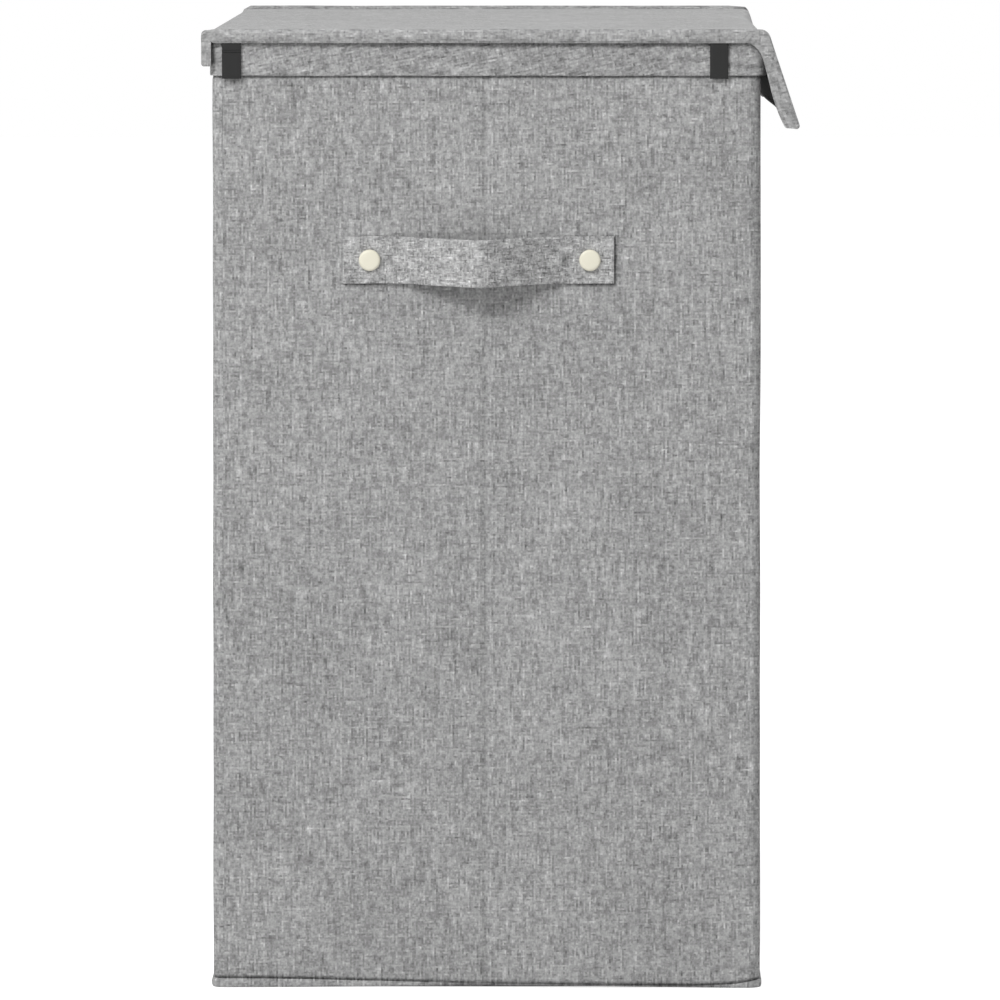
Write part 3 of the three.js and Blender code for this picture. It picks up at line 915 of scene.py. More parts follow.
@dataclass(frozen=True)
class Walls(AllRound):
    """The sewn shell: a pocket of cloth round each board, creased at the middle of both ends.

    Attributes:
        crease_depth: how far the crease is drawn in.
        crease_width: half width of the crease.
        swell: how far the cloth stands off its board.
        seam_depth: how far it is drawn in under the binding and over the foot hem.
        spread: how far it stands out at the foot.
    """

    suffix: str = "cloth"
    kind: str = "cover"
    lining: Finish | None = Finish.LINING
    pitch: float = 9.0
    crease_depth: float = 1.35
    crease_width: float = 2.4
    swell: float = 0.35
    seam_depth: float = 0.75
    spread: float = 0.9

    @cache
    def levels(self) -> np.ndarray:
        """Divides the walls' height, closer at the seams and round the strap.

        Returns:
            Heights of the rows.
        """
        marks = [1.3, 1.8, *(2.6 + 0.7 * k for k in range(11))]
        marks += [STRAP_FOOT + d for d in (-2.3, -1.3, -0.7, -0.1, 0.4)]
        marks += [STRAP_TOP + d for d in (-0.3, 0.2, 0.9, 1.9)]
        marks += [567.0, 568.0, 568.6, 569.2, 569.8, 570.6, 571.6, 586.2, 586.9]
        return steps_between(WALL_FOOT, WALL_TOP, self.pitch, marks)

    def crease(self, along: float, z: float = 0.0) -> float:
        """Depth of the centre crease, which wanders a little on its way up.

        Args:
            along: place on the outline.
            z: height.

        Returns:
            How far the cloth is drawn in.
        """
        off = min(abs(along), abs(along - PLAN.half), abs(along - 2 * PLAN.half))
        middle = ripple(z, 3.0, 55, 1.2, 9.0)
        return self.crease_depth * hill(max(off - middle, 0.0), self.crease_width)

    @staticmethod
    def seams(along: float, z: float) -> float:
        """Depth of the groove under the binding or over the foot hem.

        Args:
            along: place on the outline.
            z: height.

        Returns:
            The depth, from 0 to 1.
        """
        lift, tall = FootHem().profile(along)
        over = (0.65 + 0.35 * ease(tall, 1.0, 4.0)) * hill(z - lift - tall - 0.5, 1.2)
        return max(0.55 * hill(z - BAND_FOOT + 0.6, 1.0), over)

    @staticmethod
    def painted_strap_shadow(along: float, z: float) -> float:
        """The strap's shadow, painted into the cloth round its flat ends: dark below and to the
        right of them, faint above and to the left.

        Args:
            along: place on the outline.
            z: height.

        Returns:
            The darkness, from 0 to 1.
        """
        across, behind = PLAN.seen(along)
        if behind > 1:
            return 0.0
        under, over = STRAP_FOOT - z, z - STRAP_TOP
        beside, before = across - STRAP_END, STRAP_START - across
        bowed = STRAP_START + STRAP_FLAT < across < STRAP_END - STRAP_FLAT
        if max(under, over) > 0 and not bowed:
            gap, deep = math.hypot(max(under, over), max(beside, before, 0.0)), under > 0
        elif under < 0 and over < 0 and max(beside, before) > 0:
            gap, deep = max(beside, before), beside > 0
        else:
            return 0.0
        # Painted shadow of the strap: strong on its shaded side below and to the right, faint on its
        # lit side.
        return (0.75 if deep else 0.15) * hill(gap, 1.0)

    def line(self, along: float) -> list[Spot]:
        """Makes one upright line of the pockets.

        Args:
            along: place on the outline.

        Returns:
            Its spots.
        """
        spots = []
        for z in self.levels():
            soft = rounding(z, WALL_FOOT, 2.2) + rounding(z, WALL_TOP, 1.2)
            fade = min(1.0, (z - WALL_FOOT) / 30, (WALL_TOP - z) / 30)
            wave = self.swell * fade * (0.4 + ripple(along, z, 70, 1.2, 2.0))
            wave += self.spread * max(0.0, 1 - z / 480)
            groove = self.seams(along, z)
            depth = soft + self.crease(along, z) + self.seam_depth * groove - wave
            outer, inner = PLAN.at(along, depth), PLAN.at(along, WALL - soft)
            # Painted shade along the groove under the binding and over the foot hem, and the strap's
            # painted shadow round its flat ends.
            painted_shade = max(groove * 0.85, self.painted_strap_shadow(along, z))
            spots.append(Spot((*outer, z), (*inner, z), (along, z), painted_shade))
        return spots


@dataclass(frozen=True)
class RimBinding(AllRound):
    """The binding folded over the top edge of every wall.

    Attributes:
        proud: how far it stands off the wall.
        thickness: of the doubled cloth.
        flare: how far it stands out round the near front corner.
    """

    suffix: str = "binding"
    kind: str = "band"
    finish: Finish = Finish.BAND
    pitch: float = 8.0
    proud: float = 1.5
    thickness: float = 1.1
    flare: float = 2.0

    @staticmethod
    def rim(along: float) -> float:
        """Height of the rim: pushed down under the hooks, a little low left of the crease.

        Args:
            along: place on the outline.

        Returns:
            The height.
        """
        across, behind = PLAN.seen(along)
        if behind > 7:
            return BAND_TOP - 0.3
        dips = [1.6 * hill(max(abs(across - hook) - 5.4, 0), 0.8) for hook in HOOK_PLACES]
        return BAND_TOP - max(0.6 * hill(across + 32, 30), *dips)

    def section(self, grow: float, top: float) -> list[Pair]:
        """Depth and height along the fold.

        Args:
            grow: 0 for the outside of the cloth, its thickness for the inside.
            top: height of the rim.

        Returns:
            The points from the outer foot over the rim to the inner foot.
        """
        out, inn = -self.proud + grow, WALL + 1.3 - grow
        rise = [(out, BAND_FOOT + h) for h in (0.0, 0.5, 1.2, 4.0, 8.0, 12.0, 15.0, 16.4, 17.4)]
        fall = [(inn, BAND_FOOT + h) for h in (12.0, 8.0, 4.0, 1.2, 0.0, -0.4, -0.8, -1.2)]
        return rise + over_rim(out, inn, top - grow, max(1.6 - grow, 0.4), 5) + fall

    def line(self, along: float) -> list[Spot]:
        """Makes one line over the rim.

        Args:
            along: place on the outline.

        Returns:
            Its spots.
        """
        run, rim, spots = lengths(self.section(0.0, BAND_TOP)), self.rim(along), []
        across, behind = PLAN.seen(along)
        crease = 0.3 * Walls().crease(along)
        flare = self.flare * hill(along - PLAN.straight - PLAN.arc, 6)
        pairs = zip(self.section(0.0, rim), self.section(self.thickness, rim))
        for j, ((d0, z0), (d1, z1)) in enumerate(pairs):
            front = j < len(run) // 2
            drawn = crease if front else 0.0
            wave = ripple(along, z0, 24, 0.3, 4.0) if front else 0.0
            tuck = (0.1 if j == 0 else 0.0) + drawn
            tuck -= flare * ease(-z0, -588, -580) if front else 0.0
            edge = ripple(along, 0, 45, 0.3) if j < 2 else 0.0
            outer, inner = PLAN.at(along, d0 + tuck - wave), PLAN.at(along, d1 + drawn)
            # Painted shade along the top of the binding's outer side, under the lid's edge, fading
            # in from the left end towards the middle.
            shade = ease(across, -150, -50) * ease(z0, 586.2, 589.2) if front and behind < 2 else 0
            spots.append(Spot((*outer, z0 + edge), (*inner, z1), (along, run[j]), 0.25 * shade))
        return spots


@dataclass(frozen=True)
class FootHem(AllRound):
    """The rolled hem along the foot of the walls, fullest at the corners.

    Attributes:
        tall: height along the long walls.
        proud: how far it stands off the wall.
        places: places across an end.
        lifts: how far the hem lifts off the floor there.
        heights: how tall it is there.
    """

    suffix: str = "foot_hem"
    tall: float = 5.6
    proud: float = 1.1
    places: tuple[float, ...] = (-170, -140, -110, -82, -50, -26, 2, 60, 130, 156, 170)
    lifts: tuple[float, ...] = (0.0, 0.1, 0.4, 0.7, 1.1, 1.4, 1.5, 1.0, 0.3, 0.0, 0.0)
    heights: tuple[float, ...] = (5.6, 5.4, 4.7, 3.8, 2.6, 1.7, 1.0, 0.7, 0.8, 2.4, 5.0)

    def profile(self, along: float) -> Pair:
        """Lift and height of the hem.

        Args:
            along: place on the outline.

        Returns:
            How far it lifts off the floor, and how tall it is.
        """
        across, behind = PLAN.seen(along)
        if behind > 6.1:
            return 0.0, self.tall
        lift = float(np.interp(across, self.places, self.lifts))
        return lift, float(np.interp(across, self.places, self.heights))

    def line(self, along: float) -> list[Spot]:
        """Makes one upright line of the hem.

        Args:
            along: place on the outline.

        Returns:
            Its spots.
        """
        (lift, tall), spots = self.profile(along), []
        proud = self.proud * (0.5 + 0.5 * min(tall / 5, 1.2))
        for angle in (math.pi * j / 8 for j in range(9)):
            z = 0.12 + lift + tall * (1 - math.cos(angle)) / 2
            bulge = proud * math.sin(angle) ** 0.7 + ripple(along, z, 18, 0.25, 1.0) + 0.9
            outer, inner = PLAN.at(along, -bulge - 0.05), PLAN.at(along, 0.9)
            # Painted shade on the hem, darkest where it is thinnest.
            shade = 0.5 * (1 - ease(tall, 1.2, 2.6))
            spots.append(Spot((*outer, z), (*inner, z), (along, z), shade))
        return spots


class EdgeRow(NamedTuple):
    """One line of the lid's section, which its cover, shoulder and flap share.

    Attributes:
        y: its place along the lid.
        share: 0 on the underside, 1 on the upper side.
        roll: how far the sewn edge roll stands up there.
        under: place of the matching line on the underside.
    """

    y: float
    share: float
    roll: float
    under: float


def edge_rows() -> list[EdgeRow]:
    """Lays out the lid's section from the near end's foot to the far end's foot.

    Returns:
        Its lines in order.
    """
    near = [
        (-302.3, 0, 0), (-303.3, -0.02, 0), (-303.55, -0.13, 0), (-303.8, -0.18, 0),
        (-304.05, -0.14, 0), (-304.2, 0.02, 0), (-304.3, 0.3, 0), (-304.3, 0.55, 0),
        (-304.15, 0.76, 0), (-303.8, 0.91, 0), (-303.2, 1, 0.15), (-302.4, 1, 0.5),
        (-301.3, 1, 0.65), (-300.0, 1, 0.5), (-298.6, 1, 0.25), (-297.0, 1, 0.05), (-294.5, 1, 0),
    ]
    far = [
        (290, 1, -0.1), (294, 1, -0.35), (296.8, 1, -0.6), (298.0, 1, -0.4), (298.7, 1, 0.3),
        (299.4, 1, 1.2), (300.4, 1, 1.9), (301.6, 1, 2.1), (302.7, 1, 1.4), (303.4, 1, 0.0),
        (303.9, 0.78, 0), (304.0, 0.55, 0), (303.9, 0.3, 0), (303.5, 0.1, 0), (302.9, 0.02, 0),
        (302.3, 0, 0),
    ]
    rows = [EdgeRow(*row, -302.2 + 7.2 * k / len(near)) for k, row in enumerate(near)]
    rows += [EdgeRow(y, 1.0, 0.0, y) for y in np.linspace(-287, 282, 60)]
    rows += [EdgeRow(*row, 289.4 + 12.8 * k / (len(far) - 1)) for k, row in enumerate(far)]
    return rows


def flap_lean(y: float) -> float:
    """The flap's lean at rest in radians, a little closer to the wall at its far end."""
    return math.radians(FLAP_LEAN - FLAP_TWIST * (y + LID_END) / (2 * LID_END))


def hung(reach: float, depth: float, y: float = 0.0) -> Pair:
    """A place on the flap as it hangs.

    Args:
        reach: distance from its axis along the flap.
        depth: distance under its outer plane.
        y: place along the lid.

    Returns:
        Its x and z.
    """
    lean = flap_lean(y)
    x = FLAP_AXIS[0] + reach * math.sin(lean) - depth * math.cos(lean)
    return x, FLAP_AXIS[1] - reach * math.cos(lean) - depth * math.sin(lean)


Path = Callable[[float, float], tuple[Pair, Pair]]


def sweep(
    name: str, finish: Finish, stations: Sequence[float], path: Path, start: float,
    roll: Callable[[float], float], square: Callable[[float], float] = lambda _: 0.0,
    shade: Callable[[float], float] = lambda _: 0.06, level: bool = False,
) -> bpy.types.Object:
    """Sweeps the lid's section along a path across the hamper.

    Args:
        name: the piece's name.
        finish: its finish.
        stations: values for which the path is read.
        path: gives the outer and the inner x and z at a station and a place along the lid.
        start: the cloth's place at the first station.
        roll: how much of the edge roll and of the lip under it is left at a station.
        square: 1 at stations where the end's lower corner is square, to meet the strip under it.
        shade: how much shade is painted on the far end's roll at a station.
        level: whether the weave of the near end stays level instead of following the path.

    Returns:
        The piece.
    """
    spots, walk, before = [], 0.0, None
    for row in edge_rows():
        if before:
            rise = LID_DEPTH * (row.share - before.share) + row.roll - before.roll
            walk += math.hypot(row.y - before.y, rise)
        line, run, last, before = [], start, None, row
        for station in stations:
            (xo, zo), (xi, zi) = path(station, row.y)
            xu, zu = path(station, row.under)[1]
            depth = math.hypot(xo - xi, zo - zi)
            share = row.share + row.roll * roll(station) / depth
            if row.share < 0:
                share = row.share * roll(station) * LID_DEPTH / depth
            corner = square(station) if row.share < 0.4 and abs(row.y) > 302 else 0.0
            end = row.y + (math.copysign(LID_END, row.y) - row.y) * corner
            run += math.dist(last, (xo, zo)) if last else 0.0
            last, place = (xo, zo), (walk, run)
            x, z = xi + (xo - xi) * share, zi + (zo - zi) * share
            if level and row.y < 0 and row.share < 0.95:
                place = (8.5 + z - LID_TOP, start + x - LID_FRONT)
            # Painted shade on the upper side of the far end's roll, and on the lip under the near
            # end's edge.
            dark = shade(station)
            far = dark * ease(row.y, 296 - 16 * dark, 300 - 12 * dark) * row.share
            lip = 0.2 * ease(-row.share, -0.5, 0.1) * (row.y < 0) * roll(station)
            line.append(Spot((x, end, z), (xu, row.under, zu), place, max(far, lip)))
        spots.append(line)
    return sewn(name, spots, finish)


@dataclass(frozen=True)
class Lid:
    """The lid with its strip down the back wall and the cloth hinge between them.

    Attributes:
        strip_top: top of the back strip.
        strip_foot: its lower edge.
        strip_edge: rounding of its edges.
        strip_shade: how much shade is painted on it, so that it looks darker than the lid.
        board_back: back edge of the board inside.
        board_front: front edge of the board inside.
        back_edge: width and depth of the rounded back edge: at the near end's face, what the
            middle adds, and what the far end adds.
        far_inset: how far it is drawn in at the far end.
    """

    strip_top: float = 591.1
    strip_foot: float = 575.5
    strip_edge: float = 1.8
    strip_shade: float = 0.19
    board_back: float = -175.3
    board_front: float = 160.0
    back_edge: tuple[Point, Point] = ((3.0, 11.6, -0.8), (3.2, 3.1, 2.8))
    far_inset: float = 2.4

    def path(self, x: float, y: float) -> tuple[Pair, Pair]:
        """Upper and lower side of the cover, rounded off towards the back.

        Args:
            x: place across.
            y: place along the lid.

        Returns:
            The outer and the inner x and z.
        """
        far = ease(y, 285, 299)
        inside = 1 - ease(-y, 296, 302) - far
        wide, deep = (end + inside * more + far * last for end, more, last in self.back_edge)
        near = min(1.0, max(0.0, 1 - (x - LID_BACK - self.far_inset * far) / wide))
        drop = deep * (1 - math.sqrt(max(0.0, 1 - near * near)))
        fade = min(1.0, max(0.0, (x - LID_BACK - 12) / 30), max(0.0, (LID_FRONT - x) / 40))
        return (x, LID_TOP - drop + ripple(x, y, 60, 0.35, 6.0) * fade), (x, LID_FOOT)

    def build_cover(self) -> None:
        """Makes the lid's cloth cover."""
        marks = (0.15, 0.5, 1.0, 1.8, 2.8, 4.0, 5.3, 6.6, 8.0, 9.5, 12.0, 15.0)
        stations = steps_between(LID_BACK, LID_FRONT, 9.0, [LID_BACK + d for d in marks])
        piece = sweep(
            "lid_cloth", Finish.LID, stations, self.path, 0.0,
            lambda x: ease(x, LID_BACK + 4, LID_BACK + 9), lambda x: 1 - ease(x, -172.0, -169),
        )
        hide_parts("lid_cover")
        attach(piece, "lid")

    def build_board(self) -> None:
        """Makes the lid's board, which ends before the flap's soft shoulder."""
        spots = []
        for x in steps_between(self.board_back, self.board_front, 40.0):
            top = 596.4 - 3.0 * max(0.0, 1 - (x - self.board_back) / 6) ** 2
            along = steps_between(-302, 302, 40.0)
            spots.append([Spot((x, y, top), (x, y, 592.4), (x, y)) for y in along])
        piece = sewn("lid_stiffener", spots, Finish.BOARD)
        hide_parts("lid_board")
        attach(piece, "lid")

    def build_lining(self) -> None:
        """Makes the black lining under the lid."""
        def spot(x: float, y: float) -> Spot:
            """The spot at a place, a little uneven on its lower side."""
            foot = LID_FOOT - 0.12 - 0.1 * abs(ripple(x, y, 50, 1.0, 8.0))
            return Spot((x, y, LID_FOOT + 0.3), (x, y, foot), (x, y))

        along = steps_between(-299, 299, 12.0)
        spots = [[spot(x, y) for y in along] for x in steps_between(-174.5, 159.5, 12.0)]
        piece = sewn("lid_lining_cloth", spots, Finish.LINING)
        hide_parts("lid_lining")
        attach(piece, "lid")
        loop = [(x, y, LID_FOOT - 0.2) for x, y in (
            (-171, -295.5), (156, -295.5), (156, 295.5), (-171, 295.5))]
        thread = Stitching().lay("lid_stitches", [loop], Finish.DARK_THREAD)
        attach(thread, "lid")

    def build_strip(self) -> None:
        """Makes the strip that hangs down the back wall."""
        levels = steps_between(self.strip_foot, self.strip_top, 3.0, (575.8, 576.4, 577.4))
        marks = [s * (LID_END - d) for s in (-1, 1) for d in (0.3, 0.9, 1.8, 4.0, 5.0, 6.0, 7.0)]

        def spot(y: float, z: float) -> Spot:
            """Makes the spot at a place, rounded off towards the ends and the foot.

            Args:
                y: place along the lid.
                z: height.

            Returns:
                The spot.
            """
            ends = rounded(y, -LID_END, LID_END, self.strip_edge)
            give = max(ends, rounding(z, self.strip_foot, self.strip_edge))
            outer = (LID_BACK + give + ripple(y, z, 30, 0.15, 3.0), y, z)
            inner = (-171.65 + 0.95 * ease(abs(y), 297, 300), y, z)
            # The strip is the lid's cloth with shade painted on it.
            return Spot(outer, inner, (y, z), self.strip_shade)

        along = steps_between(-LID_END, LID_END, 10.0, marks)
        spots = [[spot(y, z) for z in levels] for y in along]
        piece = sewn("lid_back_strip_cloth", spots, Finish.LID)
        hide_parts("lid_back_strip")
        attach(piece, "back_wall")

    def build_hinge(self) -> None:
        """Makes the thin cloth hinge inside the corner between lid and strip."""
        path = [(-176.2, z) for z in (578, 584, 588, 590, 591.0, 591.6, 592.2)]
        path += [(-176.0, 592.9), (-175.4, 593.6), (-174.6, 594.2), (-173.6, 594.6)]
        path += [(x, 594.8) for x in (-172, -170, -167, -163)]
        path = [(x, z, min(1.0, max(0.0, (z - 592) / 2.8))) for x, z in path]
        run = lengths([p[:2] for p in path])
        spots = [
            [Spot((x, y, z), (x + 0.9 * (1 - lean), y, z - 0.9 * lean), (y, v))
             for (x, z, lean), v in zip(path, run)]
            for y in steps_between(-LID_END + 1.2, LID_END - 1.2, 14.0)
        ]
        piece = sewn("lid_hinge_cloth", spots, Finish.LID)
        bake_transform(piece)

    def build(self) -> None:
        """Makes the lid's pieces."""
        self.build_cover()
        self.build_board()
        self.build_lining()
        self.build_strip()
        self.build_hinge()


@dataclass(frozen=True)
class Flap:
    """The flap that hangs from the lid's front edge, and the soft shoulder between them.

    Attributes:
        root: where the flap starts, measured from its axis.
        reach: where its outer side ends.
        back_reach: where its lined side ends.
        face: depth of its outer side under the axis plane, at the root.
        back: depth of its lined side.
        fold_reaches: places along the flap's folded ends.
        fold_depths: depth of the folded ends there.
        radii: radius of the shoulder, and how much tighter it is at its near and far end.
        flat: share of the shoulder's way before its bend, and after it.
    """

    root: float = 14.5
    reach: float = 62.8
    back_reach: float = 60.6
    face: float = 4.2
    back: float = 7.5
    fold_reaches: tuple[float, ...] = (14.5, 20.0, 30.0, 37.0, 44.0, 53.0, 62.8)
    fold_depths: tuple[float, ...] = (12.7, 12.9, 13.5, 14.1, 14.2, 13.8, 12.1)
    radii: Point = (18.0, 12.0, 14.0)
    flat: float = 0.2

    @staticmethod
    def folded(y: float) -> float:
        """1 where the cloth is folded round the flap's ends, or else 0."""
        return ease(abs(y), 301.7, 302.7)

    def lined(self, y: float, reach: float) -> float:
        """Depth of the lined side, fuller where the cloth is folded round the ends.

        Args:
            y: place along the lid.
            reach: place along the flap, from its axis.

        Returns:
            The depth.
        """
        middle = self.back + (1.6 + 2.4 * ease(y, 0, 300)) * ease(reach, 26, 42)
        fold = float(np.interp(reach, self.fold_reaches, self.fold_depths))
        return middle + (fold - middle) * self.folded(y)

    @staticmethod
    def sunk(y: float) -> float:
        """How far the outer side sinks between the thicker sewn ends."""
        return 0.9 * ease(y, -301, -288) * ease(-y, -290, -200)

    def shoulder_path(self, t: float, y: float) -> tuple[Pair, Pair]:
        """Outer and inner side of the shoulder.

        Args:
            t: share of the way from the lid to the flap.
            y: place along the lid.

        Returns:
            The outer and the inner x and z.
        """
        lean = flap_lean(y)
        down = (math.sin(lean), -math.cos(lean))
        end = hung(self.root, self.face + self.sunk(y), y)
        drop = (LID_TOP - end[1]) / math.cos(lean)
        corner = (end[0] - drop * math.sin(lean), LID_TOP)
        radius = self.radii[0] - self.radii[1] * ease(-y, 292, 301)
        radius -= self.radii[2] * ease(y, 215, 300)
        turning = math.pi / 2 - lean
        reach = radius * math.tan(turning / 2)
        if t < self.flat:
            outer = (LID_FRONT + (corner[0] - reach - LID_FRONT) * t / self.flat, LID_TOP)
        elif t < 1 - self.flat:
            angle = turning * (t - self.flat) / (1 - 2 * self.flat)
            drawn = radius * (1 - math.cos(angle))
            outer = (corner[0] - reach + radius * math.sin(angle), LID_TOP - drawn)
        else:
            rest = reach + (drop - reach) * (t - (1 - self.flat)) / self.flat
            outer = (corner[0] + down[0] * rest, corner[1] + down[1] * rest)
        first, last = (LID_FRONT, LID_FOOT), hung(self.root, self.lined(y, self.root), y)
        fold = self.folded(y)
        one = (first[0] + 12.5 - 7.5 * fold, first[1])
        back = 7.0 - 3.5 * fold
        two = (last[0] - back * down[0], last[1] - back * down[1])
        shares = ((1 - t) ** 3, 3 * (1 - t) ** 2 * t, 3 * (1 - t) * t * t, t ** 3)
        inner = np.dot(shares, (first, one, two, last))
        return outer, tuple(inner)

    def panel_path(self, share: float, y: float) -> tuple[Pair, Pair]:
        """Outer and inner side of the flap.

        Args:
            share: share of its length.
            y: place along the lid.

        Returns:
            The outer and the inner x and z.
        """
        out = self.root + (self.reach - self.root) * share
        inn = self.root + (self.back_reach - self.root) * share
        sunk = self.sunk(y) * (1 - 0.6 * share)
        outer = hung(out, self.face + sunk - 0.5 * share + rounding(out, self.reach, 2.2), y)
        return outer, hung(inn, self.lined(y, inn) - rounding(inn, self.back_reach, 1.8), y)

    def build_shoulder(self) -> None:
        """Makes the soft shoulder that turns from the lid into the flap."""
        stations = [0.0, 0.07, 0.14, *np.linspace(0.2, 0.8, 13), 0.85, 0.92, 1.0]
        piece = sweep(
            "flap_shoulder_cloth", Finish.LID, stations, self.shoulder_path, LID_FRONT - LID_BACK,
            # Painted shade on the far end's roll, deepening round the shoulder.
            lambda t: max(0.1, 1 - t * 1.4), shade=lambda t: 0.06 + 0.75 * ease(t, 0.05, 0.35),
            level=True,
        )
        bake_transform(piece)

    def build_cover(self) -> None:
        """Makes the flap's cloth cover."""
        length = self.reach - self.root
        shares = [*np.linspace(0, 0.9, 9), *(1 - d / length for d in (3.2, 2.2, 1.4, 0.7, 0.25, 0))]
        piece = sweep(
            "flap_cloth", Finish.FLAP, shares, self.panel_path, 370.0, lambda t: 0.1,
            # Painted shade on the flap's far end, deepest at its root.
            shade=lambda t: 0.81 - 0.5 * t,
        )
        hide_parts("flap_cover")
        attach(piece, "flap")

    @staticmethod
    def sheet_between(
        name: str, finish: Finish, reaches: Sequence[float], end: float,
        deep: Callable[[float, float], float], thick: float,
    ) -> bpy.types.Object:
        """Makes a flat piece inside or on the flap.

        Args:
            name: its name.
            finish: its finish.
            reaches: stations along the flap.
            end: half its length along the lid.
            deep: depth of its outer side at a place along the lid and a reach.
            thick: its thickness.

        Returns:
            The piece.
        """
        def spot(y: float, reach: float) -> Spot:
            """Makes the spot at a place.

            Args:
                y: place along the lid.
                reach: place along the flap, from its axis.

            Returns:
                The spot.
            """
            depth = deep(y, reach)
            (x0, z0), (x1, z1) = hung(reach, depth, y), hung(reach, depth + thick, y)
            return Spot((x0, y, z0), (x1, y, z1), (y, reach))

        along = steps_between(-end, end, 10.0)
        return sewn(name, [[spot(y, reach) for reach in reaches] for y in along], finish)

    def build_inside(self) -> None:
        """Makes the flap's board and the black lining on its inner side."""
        board = self.sheet_between(
            "flap_stiffener", Finish.BOARD, steps_between(16, 58, 14), 300, lambda y, reach: 5.3,
            1.6,
        )
        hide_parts("flap_board")
        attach(board, "flap")
        lining = self.sheet_between(
            "flap_lining_cloth", Finish.LINING, steps_between(15, 58.5, 4), 301.3,
            lambda y, reach: self.lined(y, reach) - 0.3, 0.5,
        )
        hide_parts("flap_lining")
        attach(lining, "flap")
        seam = []
        for reach, first in ((17.0, -297), (56.0, 297)):
            for y in np.linspace(first, -first, 40):
                x, z = hung(reach, self.lined(y, reach) + 0.2, y)
                seam.append((x, y, z))
        thread = Stitching().lay("flap_stitches", [seam], Finish.DARK_THREAD)
        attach(thread, "flap")

    def build(self) -> None:
        """Makes the flap's pieces."""
        self.build_shoulder()
        self.build_cover()
        self.build_inside()


